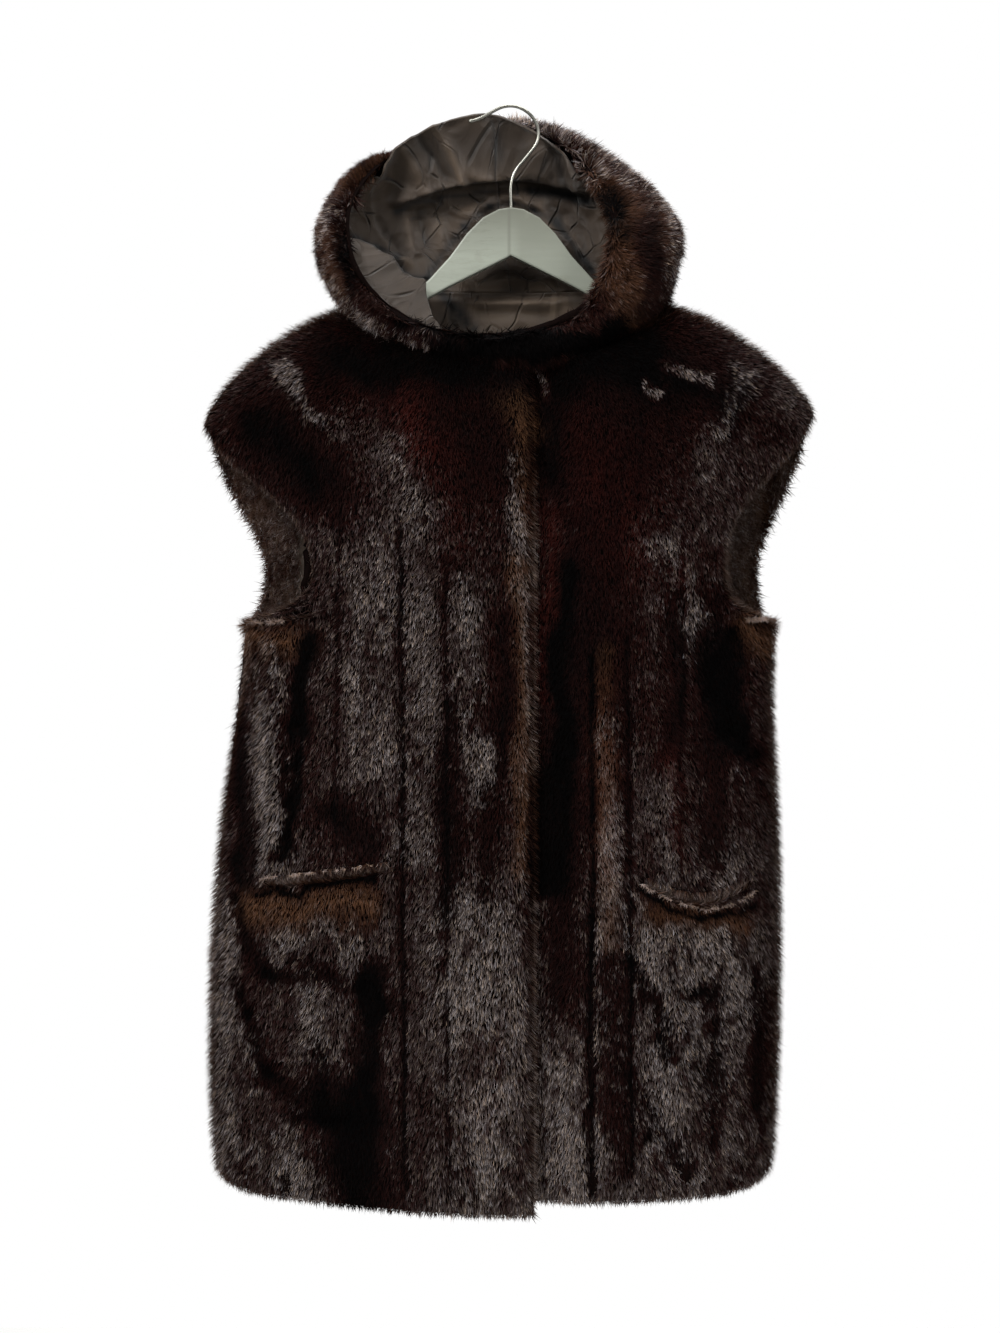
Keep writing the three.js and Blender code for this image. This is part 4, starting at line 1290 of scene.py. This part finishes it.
# %% Creases and shadows of the lining
# Creases of the hood's lining as it hangs open, seen from the front: + stands out, - is pressed in.
HOOD_CREASES = table(
    COLUMNS,
    (-72, -27, -46, -65, 4.5, 2.6),
    (-82, -39, -65, -63, 4, -2.2),
    (-58, -48, -45, -73, 4, 2.4),
    (-95, -52, -84, -78, 5, 2.2),
    (-45, -57, -7, -67, 5, 2.2),
    (-25, -25, -12, -50, 4.5, -2.0),
    (8, -22, 20, -52, 5, 2.0),
    (30, -40, 60, -70, 5, -2.2),
    (-101, -107, -99, -133, 4.5, 2.6),
    (-88, -100, -80, -128, 4, -2.2),
    (-97, -94, -66, -88, 4, 2.2),
    (-133, -138, -99, -152, 5, 2.6),
    (-122, -118, -104, -140, 4, -2.0),
    (-70, -112, -62, -140, 4.5, 2.0),
    (-45, -99, -21, -90, 4, 2.0),
    (-50, -118, -34, -108, 4, 2.2),
    (-8, -84, 30, -90, 5, 2.0),
    (30, -92, 44, -128, 4.5, 2.6),
    (44, -98, 58, -120, 4, -2.2),
    (54, -109, 66, -138, 4.5, 2.4),
    (58, -142, 70, -160, 4.5, -2.0),
    (-50, -168, 40, -170, 3.6, 2.2),
    (-44, -176, 44, -179, 3.6, -2.2),
    (-38, -184, 40, -187, 3.6, 2.4),
    (-30, -192, 36, -196, 3.8, -2.0),
)
# Painted shadow on the cloth under the overhang, behind the flap and behind the board, and painted
# shade where the cloth faces the light. A row below 0 is painted light, at the neck and in the
# armholes.
LINING_SHADES = table(
    COLUMNS,
    (-110, -97, -68, -87, 4, 1.0),
    (-68, -85, 20, -77, 1.8, 0.7),
    (20, -78, 74, -88, 5, 1.0),
    (-152, -122, -128, -131, 3.5, 0.9),
    (-128, -131, -108, -142, 3, 0.9),
    (-108, -142, -99, -160, 3, 0.9),
    (-99, -161, -76, -162, 3, 0.9),
    (-72, -168, -36, -210, 4.5, 1.1),
    (-78, -158, -45, -111, 3.5, 0.9),
    (-45, -111, -21, -95, 3.5, 0.9),
    (-21, -95, 0, -91, 3, 0.8),
    (0, -91, 22, -95, 3, 0.8),
    (22, -95, 44, -111, 3.5, 0.9),
    (44, -111, 78, -158, 3.5, 0.9),
    (-28, -192, 44, -192, 14, -0.8),
    (222, -370, 222, -480, 14, -0.9),
    (-226, -330, -222, -470, 12, -0.5),
    (20, -46, 62, -76, 18, 0.26),
    (-84, -40, 4, -36, 24, 0.36),
    (-120, -108, -84, -132, 14, 0.24),
    (60, -108, 72, -150, 12, 0.24),
    (-140, -140, -116, -190, 20, 0.3),
)

# %% The overhang
# The height of the fold's edge at a few places across, in mm.
OVERHANG = {-112: -97, -78: -83, -46: -75, -2: -70, 37: -75, 60: -80, 78: -86}
OVERHANG_OUT = 19 * MM
OVERHANG_DROP = 5 * MM  # the fold's edge sinks by this much as it comes forward
OVERHANG_LEFT, OVERHANG_RIGHT = (-122 * MM, -100 * MM), (66 * MM, 84 * MM)
OVERHANG_EDGE = (-2.5 * MM, 2 * MM)
OVERHANG_FADE = 26 * MM


def overhang(points):
    """The fold across the hood's back that hangs over the cloth beneath it."""
    across = points[:, 0]
    columns = ([value * MM for value in column] for column in (OVERHANG, OVERHANG.values()))
    over = points[:, 2] - np.interp(across, *columns) - OVERHANG_DROP
    inside = rise(*OVERHANG_LEFT, across) * (1 - rise(*OVERHANG_RIGHT, across))
    fading = np.exp(-np.square(np.maximum(over - 3 * MM, 0) / OVERHANG_FADE))
    return OVERHANG_OUT * fading * rise(*OVERHANG_EDGE, over) * inside

# %% The flap and the rolled edge
# How far the hood's rim lies from its centre, and how far the flap reaches in from it, in mm.
FLAP_RIM = {185: 126, 188: 126, 195: 125, 205: 119, 218: 115, 231: 109, 242: 103, 251: 98, 262: 100}
FLAP_REACH = {185: 0, 188: 1, 195: 19, 205: 28, 218: 24, 231: 32, 242: 25, 251: 15, 262: 2}
FLAP_BACK, FLAP_FRONT = (-57 * MM, -27 * MM), (-19 * MM, -9 * MM)  # where it lies along Y
FLAP_ENDS = (0, 8 * MM)
ROLL_OUT = {26: 0, 50: 0.85, 78: 1, 140: 1, 156: 0}
ROLL_DEEP, ROLL_FORTH = 30 * MM, 15 * MM
# The rolled edge's distance in mm from the hood's centre, which makes the outline smooth.
BROW_OUT = {10: 113, 30: 107, 54: 98, 75: 97.5, 87: 99, 96: 97, 108: 95.5, 121: 96.5}
BROW_OUT |= {133: 99.5, 146: 104, 156: 109}
RIM_STEP = 3  # degrees over which the lining's rim is evened out


def as_seen(points):
    """The points drawn to the plane of the hook, as they look from the front."""
    nearer = CAMERA_FAR / (CAMERA_FAR + points[:, 1])
    centre = np.array(VIEW_CENTRE)
    seen = centre + (points - centre) * nearer[:, None]
    seen[:, 1] = points[:, 1]
    return seen


def rim_radius(turn, free):
    """How far the lining's rim lies from the hood's centre at each turn, as seen from the front."""
    rim_turn, radius = turn_and_radius(as_seen(np.array(free)))
    steps = np.arange(min(BROW_OUT) - RIM_STEP, max(BROW_OUT) + 2 * RIM_STEP, RIM_STEP)
    even = [radius[np.abs(rim_turn - step) < RIM_STEP].mean() for step in steps]
    return np.interp(turn, steps, even)


def flap_and_roll(points, rim_distance, free):
    """The loose flap in front of the hanger's arm, and the edge rolled over the rim at the top."""
    turn, radius = turn_and_radius(points)
    reach, rim = at_turn(turn, FLAP_REACH) * MM, at_turn(turn, FLAP_RIM) * MM
    held = rise(*FLAP_BACK, points[:, 1]) * (1 - rise(*FLAP_FRONT, points[:, 1]))
    pulled = np.where(reach > 0, (radius - rim + reach) * held * rise(*FLAP_ENDS, reach), 0)
    rolled = at_turn(turn, ROLL_OUT) * rise(ROLL_DEEP, 0, rim_distance)
    lifted = (at_turn(turn, BROW_OUT) * MM - rim_radius(turn, free)) * rolled**2
    moved = radial(points) * (lifted - pulled)[:, None]
    moved[:, 1] -= ROLL_FORTH * rolled
    return moved

# %% Crinkles
CRINKLE_HEIGHT = 4 * MM
LOOSE = 3 * MM  # how far the lining hangs off its ground between the seams
WARP, WARP_SIZE = 24 * MM, (28 * MM,) * 3
LAY = {"hood": (1, 0.5, 0.8), "body": (1, 1, 0.35)}  # creases are longer where this is less
BEHIND = (-30 * MM, 5 * MM)  # where the lining lies behind the opening
SHADOW = (-30 * MM, -21 * MM)
FORWARD = (-14 * MM, -28 * MM)
TURNED = 8 * MM
CALM = 7 * MM  # how near its seams a lining lies flat
CREASE_WANDER, SHADE_WANDER = 2 * MM, 1.5 * MM
HOLLOW = {"hood": np.array((0.16, 0.07, 0.11)), "body": np.array((0.29, 0.075, np.inf))}


def lining_way(points, kind):
    """The direction from each point into the hollow that the lining faces."""
    off = points - HOOD_CENTRE if kind == "hood" else points
    return -unit(off / HOLLOW[kind] ** 2)


def creased(points, size, seed):
    """Sharp creases with soft cloth between them, from 0 to 1."""
    return 1 - 2 * np.abs(cloud(points, size, seed) - 0.5)


def crinkle(piece, kind, height, rim):
    """Presses creases into a lining, the same on both its faces, and paints its shadows and lights
    into 'shade'.
    """
    points = corners_of(piece)
    rim_distance = edge_distance(points, rim)
    if kind == "hood":
        points = opened(points)
    way = lining_way(points, kind)
    lay = (points + WARP * (cloud(points, WARP_SIZE, 51)[:, None] - 0.5)) * np.array(LAY[kind])
    shift = 0.6 * creased(lay, (20 * MM,) * 3, 52) ** 5 + 0.3 * creased(lay, (9 * MM,) * 3, 53) ** 4
    seen = as_seen(points)
    behind = rise(*BEHIND, points[:, 1])
    creases = streaks(wander(seen, CREASE_WANDER), HOOD_CREASES)
    shift *= height
    moved = np.zeros_like(points)
    if kind == "hood":
        shift += overhang(seen) * behind
        moved = flap_and_roll(points, rim_distance, rim)
    shift += 1.8 * creases * MM * behind
    shift = np.maximum(shift + LOOSE, -0.3 * MM)
    turned = rise(0, TURNED, -moved[:, 1])[:, None]
    way = unit(way * (1 - turned) + np.array((0.0, -0.8, 0.0)) * turned)
    calm = np.where(moved[:, 1] < 0, 1, rise(0, CALM, rim_distance))
    placed = points + way * (shift * calm)[:, None] + moved * calm[:, None]
    write_points(piece, placed)
    shown = wander(as_seen(placed), SHADE_WANDER)
    shade = streaks(shown, LINING_SHADES) * rise(*SHADOW, placed[:, 1])
    # painted shade on the hood lining's front part, which faces the light
    shade += 0.22 * rise(*FORWARD, placed[:, 1]) * (kind == "hood")
    # painted highlight on standing creases, painted shade in pressed ones
    shade -= 0.16 * creases * behind
    layer = piece.data.attributes.new("shade", "FLOAT", "POINT")
    layer.data.foreach_set("value", np.clip(shade, -1, 1).astype(np.float32))
    layer = piece.data.attributes.new("lay", "FLOAT_VECTOR", "POINT")
    layer.data.foreach_set("vector", lay.astype(np.float32).ravel())

# %% Free rims
JOIN = 3 * MM  # a rim this near its mate is sewn to it


def free_rim(piece, mates):
    """The corners of a lining's free edges, and of its seams to another kind of sheet."""
    mesh = piece.data
    values = np.zeros(len(mesh.edges), np.float32)
    mesh.attributes["crease_edge"].data.foreach_get("value", values)
    ends = np.zeros(len(mesh.edges) * 2, np.int32)
    mesh.edges.foreach_get("vertices", ends)
    rim = corners_of(piece)[np.unique(ends.reshape(-1, 2)[values > 0.5])]
    mate = tree_of(mates)
    return [point for point in rim if mate.find_nearest(Vector(point), JOIN)[0] is None]


def edge_distance(points, rim):
    """How far each point lies from the nearest corner of the free edges."""
    near = kdtree.KDTree(len(rim))
    for i, point in enumerate(rim):
        near.insert(Vector(point), i)
    near.balance()
    return np.array([max(near.find(Vector(p))[2] - JOIN, 0) for p in points])

# %% The linings
taffetas, rims = {}, {"body": [], "hood": []}
for node, (kind, levels) in TAFFETA.items():
    taffetas[node] = smooth_copy(node, "cloth_" + node, levels)
    mates = [other for other in TAFFETA if other != node and TAFFETA[other][0] == kind]
    rims[kind] += free_rim(taffetas[node], mates)
for node, cloth in taffetas.items():
    kind, levels = TAFFETA[node]
    crinkle(cloth, kind, CRINKLE_HEIGHT, rims[kind])
    belongs(cloth, node)
    print(cloth.name, len(triangles_of(cloth)), "triangles")

# %% [markdown]
# ## Taffeta
#
# Crisp cloth breaks into flat facets, so its bump comes from two sizes of cells, with a painted
# shade line along some of their edges, where creases hold shadow. The colour shifts a little over
# the cloth, and the "shade" attribute paints shadow on what lies in shadow, or light below 0.

# %% Taffeta
taffeta = Finish("taffeta", Roughness=0.5)
taffeta.shader.inputs["Sheen Weight"].default_value = 0.12
taffeta.shader.inputs["Specular IOR Level"].default_value = 0.35
lay = taffeta.attribute("lay", "Vector")


def crumples(size, feature):
    """Distances in a field of flat facets, as crisp cloth breaks into."""
    return taffeta.node(
        "ShaderNodeTexVoronoi", {"feature": feature}, {"Vector": lay, "Scale": 1 / size}
    )


facets = crumples(26 * MM, "F1") + crumples(11 * MM, "F1") * 0.35
edges = crumples(26 * MM, "DISTANCE_TO_EDGE")
some = taffeta.noise(lay, 20 * MM)
shot = taffeta.noise(taffeta.place(), 30 * MM, detail=3)
weave = taffeta.node(
    "ShaderNodeTexWave",
    {"wave_type": "BANDS", "bands_direction": "X"},
    {"Vector": taffeta.place(), "Scale": 1 / (1.2 * MM), "Distortion": 2.0},
)
cloth_colour = taffeta.blend(dye(55, 45, 36), dye(73, 60, 48), shot)
# a painted shade line in the creases along some of the cells' edges
line = taffeta.ramp(edges, (0.0, 1), (0.05, 0)) * taffeta.ramp(some, (0.45, 0), (0.6, 1))
cloth_colour = taffeta.blend(cloth_colour, dye(22, 17, 14), line * 0.7)
shade = taffeta.attribute("shade", "Fac")
# painted shadow from the "shade" attribute, and painted light where it is below 0
cloth_colour = taffeta.blend(cloth_colour, dye(3, 2, 2), shade.limited())
cloth_colour = taffeta.blend(cloth_colour, dye(112, 96, 80), (shade * -0.7).limited())
taffeta_finish = taffeta.set(
    Base_Color=cloth_colour,
    Normal=taffeta.bump(facets - line * 0.4 + weave * 0.02, 0.9, 7 * MM),
)
for cloth in taffetas.values():
    cloth.data.materials.append(taffeta_finish)

# %% [markdown]
# ## Pocket bags
#
# Each bag is one sheet folded in two behind its slit. It is seen only through the slit, so the
# solid's own copy is enough, with a plain cotton finish.

# %% Pocket bags
pocketing = Finish("pocketing", Roughness=0.85)
at = pocketing.place()
weave = pocketing.noise(at, 0.8 * MM)
pocketing_finish = pocketing.set(
    Base_Color=pocketing.blend(dye(52, 42, 36), dye(64, 53, 46), weave),
    Normal=pocketing.bump(weave, 0.3, 0.3 * MM),
)
bags = []
for node in ("pocket_bag_right", "pocket_bag_left"):
    bag = smooth_copy(node, "cloth_" + node, 0)
    belongs(bag, node)
    bag.data.materials.append(pocketing_finish)
    bags.append(bag)

# %% [markdown]
# ## Hanger
#
# The board is beech under thin grey-green paint, rubbed through a little at its edges. It is two
# arms glued at the middle, where a faint line shows, and its solid already has the right shape, so
# it only gets a finish. The hook is bent wire: a rounded copy of its solid, in bright steel.

# %% Painted board
# the grey of the grain's veins and of the painted shade
GREY_GRAIN_AND_SHADE = dye(112, 114, 102)
JOINT_SIDE, JOINT_WIDE = 1.8 * MM, 3 * MM
# where the painted shade at the board's top starts, and over what height it grows
BOARD_LOW, BOARD_HIGH = 150 * MM, 52 * MM
VEIN_SLANT = math.radians(-38)
paint = Finish("painted wood", Roughness=0.45)
at = paint.place(scale=(0.12, 1, 1))
grain = paint.noise(at, 5 * MM, detail=5, rough=0.6)
wear = paint.noise(paint.place(), 22 * MM, detail=4)
painted = paint.blend(dye(146, 151, 138), dye(164, 169, 156), grain)
across, depth, height = paint.parts(paint.place(), "ShaderNodeSeparateXYZ")
off_joint = paint.node("ShaderNodeMath", {"operation": "ABSOLUTE"}, {0: across + JOINT_SIDE})
joint = paint.ramp(off_joint * (1 / JOINT_WIDE), (0.1, 1), (0.8, 0))
# painted shade, darker towards the board's top
shaded_top = paint.ramp((height + BOARD_LOW) * (1 / BOARD_HIGH), (0.1, 0), (1, 1))
slant = paint.noise(paint.place(scale=(0.25, 1, 1.6), turn=(0, VEIN_SLANT, 0)), 7 * MM, 4, 0.6)
veins = paint.ramp(slant, (0.5, 0), (0.54, 1), (0.58, 0))
veins *= paint.ramp(across * 12 + 0.9, (0.6, 1), (0.9, 0))
shaded = paint.blend(painted, GREY_GRAIN_AND_SHADE, shaded_top * 1.0 + veins * 0.16)
# painted shade over the board's right half
right = paint.ramp(across * 10 + 0.5, (0.5, 0), (0.6, 1))
shaded = paint.blend(shaded, GREY_GRAIN_AND_SHADE, right * 0.4)
shaded = paint.blend(shaded, dye(104, 104, 94), joint * 0.5)
board_finish = paint.set(
    Base_Color=paint.blend(shaded, dye(132, 134, 120), paint.ramp(wear, (0.58, 0), (0.75, 0.7))),
    Roughness=grain * 0.2 + 0.36,
    Normal=paint.bump(grain, 0.15, 0.5 * MM),
)
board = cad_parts["hanger_board"]
board.data.materials.clear()
board.data.materials.append(board_finish)

# %% Bright hook
steel = Finish("bright wire", Metallic=1.0)
at = steel.place(scale=(1, 1, 0.2))
scratch = steel.noise(at, 1.5 * MM, detail=4)
steel_finish = steel.set(
    Base_Color=steel.blend(dye(142, 141, 132), dye(172, 171, 162), scratch),
    Roughness=scratch * 0.12 + 0.26,
)
hook = smooth_copy("hanger_hook", "hook", 1)
hook.data.materials.append(steel_finish)
belongs(hook, "hanger_hook")
print("hook", len(triangles_of(hook)), "triangles")

# %% [markdown]
# ## What the pocket bags were cut to
#
# A sheet's flat size is its pattern piece's width and length, and its area leaves out what the
# armhole, the neck and the curved edges cut away. A fur panel's hairs and lips lie on its leather,
# so they go with it. A pocket bag is one strip folded at its foot, and only the bags' cuts are
# listed.

# %% Cuts
BAG_CUTS = {"pocket_bag_right": (0.13, 0.25, 0.0325), "pocket_bag_left": (0.10, 0.17, 0.017)}


for node, form in forms.items():
    added = [furs[node]] + [lips[name] for name, (panel, line) in LIPS.items() if panel == node]
for node, cloth in taffetas.items():
    "ground_" + node.replace("lining_", "")
for bag, (node, sizes) in zip(bags, BAG_CUTS.items()):
    "ground_" + node.replace("pocket_bag", "front")

# %% Triangles
made = [form["piece"] for form in forms.values()]
made += [*furs.values(), *lips.values(), *taffetas.values(), *bags, board, hook]
counts = {piece.name: len(triangles_of(piece)) for piece in made}
print("most triangles in a piece:", max(counts.values()), "and in all:", sum(counts.values()))
